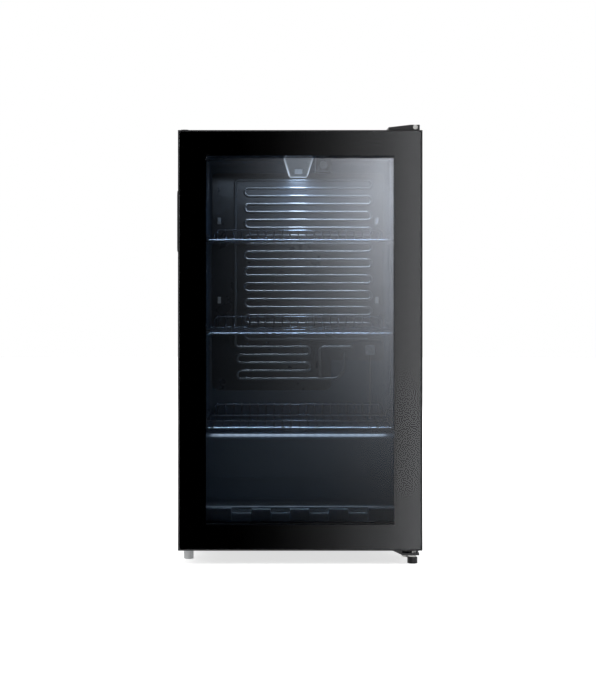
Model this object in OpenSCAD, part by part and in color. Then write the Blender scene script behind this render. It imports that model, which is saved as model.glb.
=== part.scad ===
// Beverage fridge for under a counter, with a full glass door hinged on the right.
// Millimetres. X runs to the right, Y to the back, Z up.
// The origin is on the floor, below the centre of the whole object.

/* [Overall] */
// Width of the door, which is the full width of the front
door_w = 472; // [460:1:500]
// Depth from the door glass to the bumpers behind the condenser
overall_d = 450; // [450:1:480]
// Height from the floor to the top of the hinge cover
overall_h = 850; // [800:1:900]

/* [Door] */
// Thickness of the door without its seal
door_t = 42; // [40:1:46]
// Width of the printed border at the sides of the window
border_side = 54; // [50:1:64]
// Height of the printed border above and below the window
border_end = 49.3; // [47:0.1:60]
// Height of the middle of the recessed handle
handle_z = 663; // [500:1:700]

/* [Cabinet] */
// Thickness of the steel skins
steel_t = 1.2; // [0.8:0.1:1.5]
// Thickness of the inner liner
liner_t = 2; // [1.5:0.5:3]
// Side wall with its insulation, from the outer skin to the inside
wall_t = 38; // [34:1:42]
// Height of the step over the compressor, from the inside floor
step_h = 153; // [150:1:165]
// Depth of the step, from the back wall of the inside
step_d = 120; // [115:1:130]

/* [Shelves] */
// Depth of a shelf from its front rail to its back fence
shelf_d = 290; // [250:5:290]
// Heights of the front rails of the three shelves
shelf_z = [256.7, 442.5, 626.4];
// Distance between neighbouring shelf wires
wire_pitch = 17.08; // [15:0.01:19]
// Number of wires that run from front to back on a shelf
wire_count = 21; // [15:2:21]

/* [Evaporator] */
// Distance between neighbouring runs of the cooling coil
coil_pitch = 16.96; // [16:0.01:17]
// Diameter of the coil tube
coil_d = 6.5; // [5:0.1:7]
// Number of full-width runs
coil_runs = 21; // [11:2:21]
// Number of short runs below them
short_runs = 5; // [3:2:5]

/* [Hidden] */
$fn = 48;
eps = 0.5;

// Places along Y
front_y = -overall_d / 2;
back_y = overall_d / 2;
door_back = front_y + door_t;
seal_t = 7.5;
cab_front = door_back + seal_t + 0.5;
condenser_gap = 30;
cab_back = back_y - condenser_gap;

// Cabinet
cab_x = door_w / 2 - 2;
cab_bottom = 30;
cab_top = overall_h - 13;
lip_w = 12;
lip_x = cab_x - lip_w;
sill_z = cab_bottom + lip_w;

// Inside of the liner
in_x = cab_x - wall_t;
in_floor = cab_bottom + 45;
in_ceiling = cab_top - 37;
in_back = cab_back - 45;
step_z = in_floor + step_h;
step_y = in_back - step_d;
corner_r = 12;
step_r = 14;

// Compressor bay below and behind the step
bay_front = step_y + 45;
bay_top = step_z - 38.8;
bay_x = cab_x - steel_t;
bay_roof = bay_top - steel_t;

// Door
door_x = door_w / 2;
door_bottom = 27;
door_top = overall_h - 11;
rim = 2.5;
pane_t = 4;
print_t = 0.4;
air_gap = 12;
win_x = door_x - border_side;
win_z = [door_bottom + border_end, door_top - border_end];
unit_x = win_x + 16;
unit_z = [win_z[0] - 16, win_z[1] + 16];
print_y = front_y + pane_t;
frame_y = print_y + print_t;
inner_y = frame_y + air_gap;
unit_back = inner_y + pane_t;
lip_in = 14;
seal_w = 16;
seal_in = unit_x + 2;
dart_w = 3;
dart_d = 4.3;

// Hinge axis
hinge_x = door_x - 18;
hinge_y = front_y + 21;
pin_r = 4;
bore_r = pin_r + 0.05;
bush_r = 7;
bush_l = 20;

// Hinge plate and its cover on the top
plate_z = [overall_h - 10, overall_h - 7.5];
cover_x = [hinge_x - 47, hinge_x + 13.5];
cover_y = [hinge_y - 12, hinge_y + 100];
cover_low = overall_h - 5;
cover_wall = 2;
cover_screw = [hinge_x + 4.8, overall_h - 4.8];
top_screws = [[hinge_x - 28, hinge_y + 79], [hinge_x + 4, hinge_y + 79], [hinge_x - 12, hinge_y + 54]];

// Hinge plate at the bottom
low_z = [16, 20];
low_x = [hinge_x - 21, hinge_x + 13];
low_y = [hinge_y - 9, hinge_y + 84];
low_screws = [[hinge_x - 13, hinge_y + 54], [hinge_x + 5, hinge_y + 54]];
lock_bolt = [hinge_x - 12, hinge_y + 21];

// Feet
foot_r = 10;
left_foot = [-door_x + 17.2, cab_front + 26];
rear_foot = [cab_x - 34, cab_back - 30];

// Handle
handle_h = 118.6;
handle_w = 30;
flange_t = 2;
cup_y = hinge_y + 2;
cup_h = handle_h - 16;
cup_w = 22;
cup_d = 22;

// Shelves
rail_r = 2.5;
cross_r = 2.2;
wire_r = 1.5;
weld = 0.4;
shelf_x = in_x - 6;
shelf_front = cab_front + 25;
fence_h = 23;
fence_x = (wire_count - 1) / 2 * wire_pitch + 7;
wire_z = rail_r + wire_r - weld;
ledge_w = 9;
ledge_h = 5;
ledge_gap = 0.4;

// Evaporator
plate_t = 2;
coil_r = coil_d / 2;
bend_r = coil_pitch / 2;
coil_y = in_back - plate_t;
coil_top = in_ceiling - 42.3;
coil_left = -105;
coil_right = 148;
riser_x = -134;
short_left = -121.5;
short_right = 16.5;
last_run = coil_runs + short_runs - 1;
plate_x = in_x - 13;
plate_low = run_z(last_run) - 24;
plate_notch = run_z(last_run) + 40;
notch_x = 70;
clip_x = 168;
clip_z = [coil_top - 87, coil_top - 256];
clamp_x = 153;
clamp_z = run_z(coil_runs);

// Lamp, switch and thermostat below the ceiling
lamp_y = [in_back - 84, in_back - 10];
lamp_low = in_ceiling - 38;
lens_y = [lamp_y[0] + 14, lamp_y[1] - 2];
lamp_top_x = 31;
lamp_low_x = 19;
switch_z = lamp_low + 9.5;
switch_y = lamp_y[0] + 4;
rocker_tilt = 8;
stat_x = [36, 68];
stat_y = lamp_y[0] + 12;
knob_x = 52;
knob_z = in_ceiling - 13;
stem_r = 3;

// Compressor
can_x = -40;
can_y = (bay_front + cab_back) / 2 + 0.4;
can_r = 54;
can_z = [48, 150];
stud_dx = 62;
stud_dy = 38;
drain_y = in_back - 10;

relay_z = [68, 118];
gland_x = 150;
gland_z = cab_bottom + 20;
gland_r = 7;
gland_bore = 3.6;

// Condenser on the back
tube_r = 2.5;
tube_y = cab_back + 17;
cond_pitch = 50;
cond_runs = 11;
cond_z = 260;
cond_x = 190;
cond_wire_r = 0.8;
cond_wires = 16;
cond_wire_pitch = 24;
leg_x = cond_x + 15;
drier_x = cond_x + 34;
drier_z = [45, 130];

// Height of a run of the coil, counted from the top
function run_z(i) = coil_top - coil_pitch * i;

// Range of a length around a centre
function span(c, w) = [c - w / 2, c + w / 2];

// ---- Shapes that repeat ----

// Box between two limits on each axis
module slab(x, y, z)
    translate([x[0], y[0], z[0]]) cube([x[1] - x[0], y[1] - y[0], z[1] - z[0]]);

// Rods along each axis, from a range and the place of their middle line
module rod_x(x, y, z, r)
    translate([x[0], y, z]) rotate([0, 90, 0]) cylinder(h = x[1] - x[0], r = r);
module rod_y(x, y, z, r)
    translate([x, y[0], z]) rotate([-90, 0, 0]) cylinder(h = y[1] - y[0], r = r);
module rod_z(x, y, z, r)
    translate([x, y, z[0]]) cylinder(h = z[1] - z[0], r = r);

// Rectangle with round corners, between two limits on each axis
module round_rect(x, y, r) {
    translate([x[0] + r, y[0]]) square([x[1] - x[0] - 2 * r, y[1] - y[0]]);
    translate([x[0], y[0] + r]) square([x[1] - x[0], y[1] - y[0] - 2 * r]);
    for (cx = [x[0] + r, x[1] - r], cy = [y[0] + r, y[1] - r]) translate([cx, cy]) circle(r);
}

// Solid drawn in Y and Z and carried along X
module along_x(x)
    translate([x[0], 0, 0]) rotate([90, 0, 90]) linear_extrude(x[1] - x[0]) children();

// Solid drawn in X and Z and carried along Y
module along_y(y)
    translate([0, y[1], 0]) rotate([90, 0, 0]) linear_extrude(y[1] - y[0]) children();

// Quarter or half bend of a tube in the X-Z plane, from an angle, turning anticlockwise
module bend_xz(x, y, z, bend, r, from, sweep)
    translate([x, y, z]) rotate([90, -from, 0])
        rotate_extrude(angle = sweep) translate([bend, 0]) circle(r);

// Quarter bend of a tube in the X-Y plane, from an angle, turning anticlockwise as seen from above
module bend_xy(x, y, z, bend, r, from)
    translate([x, y, z]) rotate([0, 0, from])
        rotate_extrude(angle = 90) translate([bend, 0]) circle(r);

// Quarter bend of a tube from backwards to upwards, around a middle point
module bend_up(x, y, z, bend, r)
    translate([x, y, z]) rotate([0, 90, 0])
        rotate_extrude(angle = 90) translate([bend, 0]) circle(r);

// Rectangular frame that lies in the X-Z plane
module frame_ring(outer_x, outer_z, width, y)
    difference() {
        slab([-outer_x, outer_x], y, outer_z);
        slab([-outer_x + width, outer_x - width], [y[0] - 1, y[1] + 1],
             [outer_z[0] + width, outer_z[1] - width]);
    }

// Hexagonal head, point to point along X
module hex_head(x, y, z, r)
    translate([x, y, z[0]]) cylinder(h = z[1] - z[0], r = r, $fn = 6);

// Inside space of the liner, grown by a wall and open past the front by a run-out
module liner_space(grow, run_out) {
    front = cab_front - run_out;
    past = front - 50;
    edge_r = step_r - grow;
    round_r = corner_r + grow;
    intersection() {
        along_x([-in_x - grow, in_x + grow])
            intersection() {
                union() {
                    round_rect([past, in_back + grow], [step_z - grow, in_ceiling + grow], round_r);
                    round_rect([past, step_y + grow], [in_floor - grow, step_z + 50], round_r);
                    difference() {
                        translate([step_y + grow - 1, step_z - grow - edge_r])
                            square([edge_r + 1, edge_r + 1]);
                        translate([step_y + grow + edge_r, step_z - grow - edge_r]) circle(edge_r);
                    }
                }
                translate([front, 0]) square([overall_d, overall_h]);
            }
        linear_extrude(overall_h)
            round_rect([-in_x - grow, in_x + grow], [past, in_back + grow], round_r);
    }
}

// ---- Cabinet ----

// Painted steel wrapper: two sides and a top, folded inwards at the front
module outer_shell() color("#17191c")
    difference() {
        slab([-cab_x, cab_x], [cab_front, cab_back], [cab_bottom, cab_top]);
        slab([-bay_x, bay_x], [cab_front + steel_t, cab_back + 1], [cab_bottom - 1, cab_top - steel_t]);
        slab([-lip_x, lip_x], [cab_front - 1, cab_back], [cab_bottom - 1, cab_top - lip_w]);
        for (p = top_screws) rod_z(p[0], p[1], [cab_top - 5, cab_top + 1], 2);
    }

module back_panel() color("#26282b")
    difference() {
        slab([-bay_x, bay_x], [cab_back - steel_t, cab_back], [bay_top, cab_top - steel_t]);
        panel_screws() rod_y(0, [-5, 5], 0, 2);
    }

// Places of the screws of the back panel
module panel_screws()
    for (x = [-bay_x + 9, bay_x - 9], z = [bay_top + 16, (bay_top + cab_top) / 2, cab_top - 18])
        translate([x, cab_back, z]) children();

module back_panel_screws() color("silver")
    panel_screws() {
        difference() {
            rod_y(0, [0, 2.2], 0, 4);
            slab([-2.6, 2.6], [1.2, 3], [-0.5, 0.5]);
            slab([-0.5, 0.5], [1.2, 3], [-2.6, 2.6]);
        }
        rod_y(0, [-8, 0], 0, 2);
    }

module base_pan() color("#2b2d30")
    difference() {
        union() {
            slab([-bay_x, bay_x], [cab_front + steel_t, bay_front + steel_t],
                 [cab_bottom, cab_bottom + steel_t]);
            slab([-lip_x, lip_x], [cab_front, cab_front + steel_t], [cab_bottom, sill_z]);
        }
        rod_z(left_foot[0], left_foot[1], [0, 60], pin_r + 0.5);
        for (p = low_screws) rod_z(p[0], p[1], [0, 60], 3);
    }

// Bent sheet between the insulation and the compressor bay
module bay_shroud() color("#34373b")
    difference() {
        union() {
            slab([-bay_x, bay_x], [bay_front, bay_front + steel_t], [cab_bottom + steel_t, bay_top]);
            slab([-bay_x, bay_x], [bay_front, cab_back], [bay_roof, bay_top]);
        }
        rod_z(can_x, drain_y, [bay_roof - 1, bay_top + 1], 7);
    }

module insulation_foam() color("#d9c27a")
    difference() {
        slab([-bay_x, bay_x], [cab_front + liner_t, cab_back - steel_t],
             [cab_bottom + steel_t, cab_top - steel_t]);
        liner_space(liner_t, 0);
        slab([-cab_x, cab_x], [bay_front, back_y], [0, bay_top]);
        rod_z(can_x, drain_y, [0, step_z], 7);
        rod_z(left_foot[0], left_foot[1], [0, cab_bottom + 15], bush_r);
        for (p = low_screws) rod_z(p[0], p[1], [0, cab_bottom + 14], 3);
        for (p = top_screws) rod_z(p[0], p[1], [cab_top - 12, cab_top], 2);
        panel_screws() rod_y(0, [-8, 1], 0, 2);
    }

// Ledges that carry one shelf, on both side walls, with a guide above each
module shelf_ledges(z) {
    low = z - rail_r - ledge_gap;
    high = z + wire_z + wire_r + 4;
    for (side = [-1, 1], top = [low, high + ledge_h])
        slab(span(side * (in_x - ledge_w / 2 + eps), ledge_w + 2 * eps),
             [shelf_front - 14, in_back - 14], [top - ledge_h, top]);
}

// Vacuum-formed inner box with its front flange, shelf ledges and the drain hole
module liner() color("#1b212a") {
    difference() {
        union() {
            liner_space(liner_t, 0);
            slab([-lip_x, lip_x], [cab_front, cab_front + liner_t], [sill_z, cab_top - lip_w]);
        }
        liner_space(0, 20);
        rod_z(can_x, drain_y, [step_z - 10, step_z + 10], 5);
    }
    for (z = shelf_z) shelf_ledges(z);
    step_ribs();
}

// Raised ledge and middle rib on the front of the step
module step_ribs() {
    slab([-in_x - eps, in_x + eps], [step_y - 3, step_y + eps], span(in_floor + 60, 4));
    slab([-in_x - eps, in_x + eps], [step_y - 3, step_y + eps], span(in_floor + 19, 4));
    slab(span(0, 4), [step_y - 3, step_y + eps], [in_floor + 19, in_floor + 60]);
}

// Moulded strip with raised tabs along the front edge of the floor
module sill_trim() color("#7f94a8") {
    trim_x = in_x - 2;
    tab_w = 38;
    tab_pitch = 75.7;
    front = cab_front + 4;
    slab([-trim_x, trim_x], [front + 4, front + 12], [in_floor, in_floor + 17]);
    for (i = [-1:1])
        slab(span(i * tab_pitch, tab_w), [front, front + 12], [in_floor + 3, in_floor + 25]);
    for (side = [-1, 1])
        slab(span(side * (trim_x - 30), 60), [front, front + 12], [in_floor + 3, in_floor + 27]);
}

// ---- Evaporator ----

module evaporator_plate() color("#232a33")
    along_y([coil_y, in_back]) {
        round_rect([-plate_x, plate_x], [plate_notch, coil_top + 14], 10);
        round_rect([-plate_x, notch_x], [plate_low, plate_notch + 30], 14);
    }

// Flattened tube that runs to and fro across the plate, down the left side and into the short runs
module evaporator_coil() color("#3a444f")
    difference() {
        union() {
            for (i = [0:coil_runs - 1]) coil_run(i);
            bend_xz(riser_x + bend_r, coil_y, coil_top - bend_r, bend_r, coil_r, 90, 90);
            rod_z(riser_x, coil_y, [run_z(coil_runs) + bend_r, coil_top - bend_r], coil_r);
            bend_xz(riser_x + bend_r, coil_y, run_z(coil_runs) + bend_r, bend_r, coil_r, 180, 90);
            for (i = [coil_runs:last_run]) short_run(i);
            tail_loop();
        }
        slab([-in_x, in_x], [coil_y, in_back + 20], [0, overall_h]);
    }

// A full-width run and the turn that joins it to the next one
module coil_run(i) {
    left = i == 0 ? riser_x + bend_r : coil_left;
    rod_x([left, coil_right], coil_y, run_z(i), coil_r);
    if (i < coil_runs - 1) turn(i, coil_left, coil_right);
}

// A short run and the turn that joins it to the next one
module short_run(i) {
    left = i == coil_runs ? riser_x + bend_r : short_left;
    rod_x([left, short_right], coil_y, run_z(i), coil_r);
    if (i < last_run) turn(i - coil_runs, short_left, short_right, run_z(i) - bend_r);
}

// Half-circle turn below run i: on the right after an even run, on the left after an odd one
module turn(i, left, right, z = undef) {
    mid = is_undef(z) ? run_z(i) - bend_r : z;
    right_side = i % 2 == 0;
    bend_xz(right_side ? right : left, coil_y, mid, bend_r, coil_r, right_side ? -90 : 90, 180);
}

// End of the coil: along from the last run and up in a wide bend
module tail_loop() {
    wide_r = 27;
    end_x = notch_x + 2;
    rod_x([short_right, end_x], coil_y, run_z(last_run), coil_r);
    bend_xz(end_x, coil_y, run_z(last_run) + wide_r, wide_r, coil_r, -90, 90);
    rod_z(end_x + wide_r, coil_y, [run_z(last_run) + wide_r, run_z(last_run) + 56], coil_r);
}

module evaporator_clips() color("#59636e")
    for (x = [-clip_x, clip_x], z = clip_z) {
        slab(span(x, 7), [coil_y - 2, coil_y], span(z, 14));
        rod_y(x, [coil_y - 5, coil_y - 2], z, 2.6);
    }

// Wider pipe that gathers the gas beside the short runs
module suction_pipe() color("#59636e") {
    pipe_r = 4;
    pipe_y = coil_y - pipe_r;
    down_x = 47;
    elbow_r = 10;
    top_z = run_z(coil_runs);
    end_x = 112;
    rod_x([down_x + elbow_r, end_x], pipe_y, top_z, pipe_r);
    translate([end_x, pipe_y, top_z]) sphere(pipe_r);
    bend_xz(down_x + elbow_r, pipe_y, top_z - elbow_r, elbow_r, pipe_r, 90, 90);
    rod_z(down_x, pipe_y, [run_z(last_run) + coil_r + 1, top_z - elbow_r], pipe_r);
}

// Moulded clamp that holds the thermostat's feeler on the plate
module sensor_clamp() color("#8b949e")
    difference() {
        along_y([coil_y - 12, coil_y]) round_rect(span(clamp_x, 20), span(clamp_z - 6, 22), 5);
        rod_y(clamp_x, [coil_y - 13, coil_y - 8], clamp_z - 6, 3.5);
    }

module capillary_tube() color("#8a5a3c")
    rod_z(clamp_x, coil_y - 1.4, [step_z + 20, clamp_z - 17], 1.2);

// ---- Lamp, switch and thermostat ----

// Front outline of the lamp housing, shrunk by a wall
module lamp_outline(wall)
    polygon([
        [-lamp_low_x + wall, lamp_low + wall],
        [-lamp_top_x + wall, in_ceiling - 7],
        [-lamp_top_x + wall, in_ceiling - wall],
        [lamp_top_x - wall, in_ceiling - wall],
        [lamp_top_x - wall, in_ceiling - 7],
        [lamp_low_x - wall, lamp_low + wall]
    ]);

module lamp_housing() color("#5f6d7b")
    difference() {
        along_y(lamp_y) lamp_outline(0);
        along_y([lamp_y[0] + 2, lamp_y[1] - 2]) lamp_outline(2);
        slab(span(0, 2 * lamp_low_x - 4), lens_y, [lamp_low - 1, lamp_low + 3]);
        slab([-8.6, 8.6], [lamp_y[0] - 1, lamp_y[0] + 3], span(switch_z, 13.4));
    }

module lamp_lens() color("#dfe8f2", 0.8)
    slab(span(0, 2 * lamp_low_x - 4), lens_y, [lamp_low, lamp_low + 2]);

// Circuit board with a row of light-emitting diodes below it
module led_board() color("#e8ecef") {
    board_z = in_ceiling - 2 - 1.6;
    slab(span(0, 30), [lamp_y[0] + 16, lamp_y[1] - 6], [board_z, board_z + 1.6]);
    for (i = [0:4])
        slab(span(0, 5), span(lamp_y[0] + 24 + 9 * i, 5), [board_z - 1.4, board_z]);
}

// Rocker with two faces that meet at a shallow angle, pressed in at the bottom
module lamp_switch() color("#c9cfd6")
    translate([0, switch_y, switch_z]) rotate([-rocker_tilt, 0, 0]) along_x([-8, 8]) {
        circle(4.6);
        polygon([[-5.5, 5.2], [-4.2, 0], [-5.5, -5.2], [0, -4.4], [0, 4.4]]);
    }

module thermostat_body() color("#2e363f")
    difference() {
        slab(stat_x, [stat_y, lamp_y[1]], [in_ceiling - 28, in_ceiling]);
        rod_y(knob_x, [stat_y - 1, stat_y + 12], knob_z, stem_r + 0.05);
    }

module thermostat_knob() color("#6d7985") {
    rod_y(knob_x, [stat_y - 10, stat_y - 0.6], knob_z, 8);
    slab(span(knob_x, 2.4), [stat_y - 13, stat_y - 9], span(knob_z, 15));
    rod_y(knob_x, [stat_y - 1, stat_y + 11], knob_z, stem_r);
}

// ---- Shelves ----

// Welded wire shelf: a stout frame, thin wires on top and a low fence at the back
module shelf(z) color("#c3ccd6")
    translate([0, 0, z]) {
        back = shelf_front + shelf_d;
        side_x = shelf_x - rail_r;
        shelf_frame(side_x, back);
        rod_x([-side_x, side_x], shelf_front + shelf_d * 0.53, 0, cross_r);
        for (i = [0:wire_count - 1])
            shelf_wire((i - (wire_count - 1) / 2) * wire_pitch, back);
        fence(back - 2 * wire_r + weld);
    }

// Closed loop of stout wire round the edge of the shelf
module shelf_frame(side_x, back) {
    turn_r = 8;
    for (y = [shelf_front, back]) rod_x([-side_x + turn_r, side_x - turn_r], y, 0, rail_r);
    for (x = [-side_x, side_x]) rod_y(x, [shelf_front + turn_r, back - turn_r], 0, rail_r);
    bend_xy(side_x - turn_r, back - turn_r, 0, turn_r, rail_r, 0);
    bend_xy(-side_x + turn_r, back - turn_r, 0, turn_r, rail_r, 90);
    bend_xy(-side_x + turn_r, shelf_front + turn_r, 0, turn_r, rail_r, 180);
    bend_xy(side_x - turn_r, shelf_front + turn_r, 0, turn_r, rail_r, 270);
}

// Thin wire from the front rail to the back, bent up at the end as a post of the fence
module shelf_wire(x, back) {
    turn_r = 4;
    rod_y(x, [shelf_front - rail_r + 0.5, back - turn_r], wire_z, wire_r);
    bend_up(x, back - turn_r, wire_z + turn_r, turn_r, wire_r);
    rod_z(x, back, [wire_z + turn_r, fence_h + wire_z], wire_r);
}

// Top wire of the fence, turned down to the back rail at both ends
module fence(y) {
    turn_r = 10;
    top = fence_h + wire_z - 2 * wire_r;
    rod_x([-fence_x + turn_r, fence_x - turn_r], y, top, wire_r);
    for (side = [-1, 1]) {
        bend_xz(side * (fence_x - turn_r), y, top - turn_r, turn_r, wire_r, side > 0 ? 0 : 90, 90);
        rod_z(side * fence_x, y, [rail_r - 1.5, top - turn_r], wire_r);
    }
}

module shelf_lower() shelf(shelf_z[0]);
module shelf_middle() shelf(shelf_z[1]);
module shelf_upper() shelf(shelf_z[2]);

// ---- Compressor bay ----

// Outside of the sealed compressor can
module can()
    translate([can_x, can_y, 0]) rotate_extrude()
        intersection() {
            round_rect([-can_r, can_r], can_z, 26);
            translate([0, can_z[0]]) square([can_r, can_z[1] - can_z[0]]);
        }

// Places of the four studs of the compressor
module studs()
    for (dx = [-stud_dx, stud_dx], dy = [-stud_dy, stud_dy])
        translate([can_x + dx, can_y + dy, 0]) children();

module compressor() color("#101214") {
    can();
    difference() {
        slab(span(can_x, 2 * stud_dx + 24), span(can_y, 2 * stud_dy + 22), [44, 48]);
        studs() rod_z(0, 0, [40, 50], 6);
    }
    rod_z(can_x, can_y, [47, 60], 30);
}

module compressor_grommets() color("#1d1d1d")
    studs() difference() {
        union() {
            rod_z(0, 0, [cab_bottom + liner_t, 44], 9);
            rod_z(0, 0, [44, 48], 6);
            rod_z(0, 0, [48, 51], 8);
        }
        rod_z(0, 0, [30, 52], 3.2);
    }

module compressor_bolts() color("silver")
    studs() {
        rod_z(0, 0, [cab_bottom + liner_t, 60], 3.2);
        hex_head(0, 0, [51, 56], 6.5);
    }

// Moulded cover over the starter and the terminals
module relay_cover() color("#2a2a2c")
    difference() {
        slab([can_x + can_r - 14, can_x + can_r + 28], span(can_y, 44), relay_z);
        rod_z(can_x, can_y, [relay_z[0] - 1, relay_z[1] + 1], can_r + 0.1);
    }

// Steel plate that carries the compressor, with a tab for the cord gland
module compressor_plate() color("#3c3f43")
    difference() {
        union() {
            slab([-bay_x, bay_x], [bay_front + steel_t, cab_back], [cab_bottom, cab_bottom + liner_t]);
            slab(span(gland_x, 40), [cab_back - liner_t, cab_back], [cab_bottom, gland_z + 16]);
        }
        rod_y(gland_x, [cab_back - 5, cab_back + 1], gland_z, gland_r);
    }

module cord_gland() color("#151515")
    difference() {
        union() {
            rod_y(gland_x, span(cab_back, 16), gland_z, gland_r);
            rod_y(gland_x, [cab_back, cab_back + 2.5], gland_z, gland_r + 3);
        }
        rod_y(gland_x, span(cab_back, 18), gland_z, gland_bore);
    }

// Tray on the compressor in which the defrost water dries away
module drip_tray() color("#8f969c")
    difference() {
        slab(span(can_x, 112), span(can_y, 88), [can_z[1], can_z[1] + 20]);
        slab(span(can_x, 109), span(can_y, 85), [can_z[1] + 1.5, can_z[1] + 21]);
    }

module drain_tube() color("#b9bec2")
    difference() {
        rod_z(can_x, drain_y, [can_z[1] + 8, step_z - liner_t], 7);
        rod_z(can_x, drain_y, [can_z[1] + 7, step_z], 5);
    }

// Hot pipe from the compressor round to the foot of the condenser
module discharge_pipe() color("#a9693f") {
    pipe_z = 84;
    elbow = 15;
    difference() {
        rod_x([-leg_x + elbow, can_x - can_r + 8], can_y, pipe_z, tube_r);
        can();
    }
    bend_xy(-leg_x + elbow, can_y + elbow, pipe_z, elbow, tube_r, 180);
    rod_y(-leg_x, [can_y + elbow, tube_y - elbow], pipe_z, tube_r);
    bend_up(-leg_x, tube_y - elbow, pipe_z + elbow, elbow, tube_r);
    rod_z(-leg_x, tube_y, [pipe_z + elbow, cond_z - elbow], tube_r);
    bend_xz(-leg_x + elbow, tube_y, cond_z - elbow, elbow, tube_r, 90, 90);
}

// Cold pipe back from the evaporator, down through the roof of the bay
module return_pipe() color("#a9693f") {
    pipe_x = 70;
    pipe_y = can_y - 30;
    pipe_z = 134;
    elbow = 15;
    rod_z(pipe_x, pipe_y, [pipe_z + elbow, bay_roof], 3);
    bend_xz(pipe_x - elbow, pipe_y, pipe_z + elbow, elbow, 3, -90, 90);
    difference() {
        rod_x([can_x + can_r - 20, pipe_x - elbow], pipe_y, pipe_z, 3);
        can();
    }
}

module filter_drier() color("#b8703f") {
    rod_z(drier_x, tube_y, drier_z, 8);
    rod_z(drier_x, tube_y, [drier_z[0] - 10, drier_z[0]], 2);
}

// ---- Condenser ----

// Tube that runs to and fro up the back, then straight down past its turns to the drier
module condenser_tube() color("#111315") {
    top = cond_z + cond_pitch * (cond_runs - 1);
    leg_r = drier_x - cond_x;
    for (i = [0:cond_runs - 1]) {
        z = cond_z + cond_pitch * i;
        rod_x([-cond_x, cond_x], tube_y, z, tube_r);
        if (i < cond_runs - 1)
            bend_xz(i % 2 == 0 ? cond_x : -cond_x, tube_y, z + cond_pitch / 2, cond_pitch / 2, tube_r,
                    i % 2 == 0 ? -90 : 90, 180);
    }
    bend_xz(cond_x, tube_y, top - leg_r, leg_r, tube_r, 0, 90);
    rod_z(drier_x, tube_y, [drier_z[1], top - leg_r], tube_r);
}

// Upright wires on both faces of the tube
module condenser_wires() color("#111315") {
    wire_ends = [cond_z - 12, cond_z + cond_pitch * (cond_runs - 1) + 12];
    for (i = [0:cond_wires - 1], side = [-1, 1]) {
        x = (i - (cond_wires - 1) / 2) * cond_wire_pitch;
        rod_z(x, tube_y + side * (tube_r + cond_wire_r), wire_ends, cond_wire_r);
    }
}

// Stand-offs that hold the condenser and keep it off a wall
module condenser_brackets() color("#1b1c1e")
    for (x = [-168, 168], z = [cond_z + cond_pitch, cond_z + cond_pitch * (cond_runs - 2)])
        difference() {
            slab(span(x, 16), [cab_back, back_y], span(z, 24));
            rod_x(span(x, 20), tube_y, z, tube_r);
        }

// ---- Hinges ----

// Steel plate on the roof with the pin that hangs down into the door
module upper_hinge_bracket() color("#3a3d41") {
    flat_x = [cover_x[0] + 5, cover_x[1] - 3.5];
    difference() {
        union() {
            slab(flat_x, [cover_y[0] + 5, cover_y[1] - 8], plate_z);
            slab(flat_x, [cab_front + 3, cover_y[1] - 8], [cab_top, plate_z[0]]);
            slab([cover_screw[0] - 7, flat_x[1]], [cover_y[0] + 2.5, cover_y[0] + 5],
                 [plate_z[0], overall_h - 2.5]);
            rod_z(hinge_x, hinge_y, [door_top - bush_l + 3, plate_z[0] + 1], pin_r);
        }
        for (p = top_screws) rod_z(p[0], p[1], [cab_top - 1, overall_h], 2);
        rod_y(cover_screw[0], [cover_y[0], cover_y[0] + 10], cover_screw[1], 1.9);
    }
}

module upper_hinge_screws() color("silver")
    for (p = top_screws) {
        rod_z(p[0], p[1], [cab_top - 12, plate_z[1]], 2);
        difference() {
            rod_z(p[0], p[1], [plate_z[1], plate_z[1] + 1.6], 4);
            slab(span(p[0], 5), span(p[1], 1), [plate_z[1] + 0.8, plate_z[1] + 3]);
        }
    }

// Moulded cover over the upper hinge, with a top that slopes down to the left
module hinge_cover() color("#1c1d20")
    difference() {
        along_y(cover_y) cover_outline(0);
        along_y([cover_y[0] + cover_wall, cover_y[1] - cover_wall]) cover_outline(cover_wall);
        slab([cover_x[0] - 1, cover_x[1] + 1], [cover_y[0] - 1, cab_front + 1], [0, door_top + 1]);
        rod_y(cover_screw[0], [cover_y[0] - 1, cover_y[0] + 3], cover_screw[1], 1.9);
    }

module cover_outline(wall)
    polygon([
        [cover_x[0] + wall, cab_top - wall], [cover_x[1] - wall, cab_top - wall],
        [cover_x[1] - wall, overall_h - wall], [hinge_x - 4, overall_h - wall],
        [cover_x[0] + wall, cover_low - wall]
    ]);

module hinge_cover_screw() color("silver") {
    difference() {
        rod_y(cover_screw[0], [cover_y[0] - 2, cover_y[0]], cover_screw[1], 4.7);
        rod_y(cover_screw[0], [cover_y[0] - 3, cover_y[0] - 0.6], cover_screw[1], 2.8);
    }
    rod_y(cover_screw[0], [cover_y[0], cover_y[0] + 8], cover_screw[1], 1.9);
}

// Steel plate below the cabinet that carries the door, with an upturned wing on the left
module lower_hinge_bracket() color("#1a1b1d") {
    wing_top = low_z[1] + 5.4;
    wing_x = [low_x[0] - 19, low_x[0] + 1];
    difference() {
        union() {
            slab(low_x, low_y, low_z);
            slab(low_x, [cab_front + 5, low_y[1]], [low_z[1], cab_bottom]);
            along_y([low_y[0] + 2, low_y[0] + 18])
                polygon([[wing_x[1], low_z[0]], [wing_x[1], wing_top], [wing_x[0], wing_top]]);
        }
        rod_z(hinge_x, hinge_y, [0, 50], pin_r);
        rod_z(lock_bolt[0], lock_bolt[1], [0, 50], 3);
        for (p = low_screws) rod_z(p[0], p[1], [0, 50], 3);
    }
}

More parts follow.
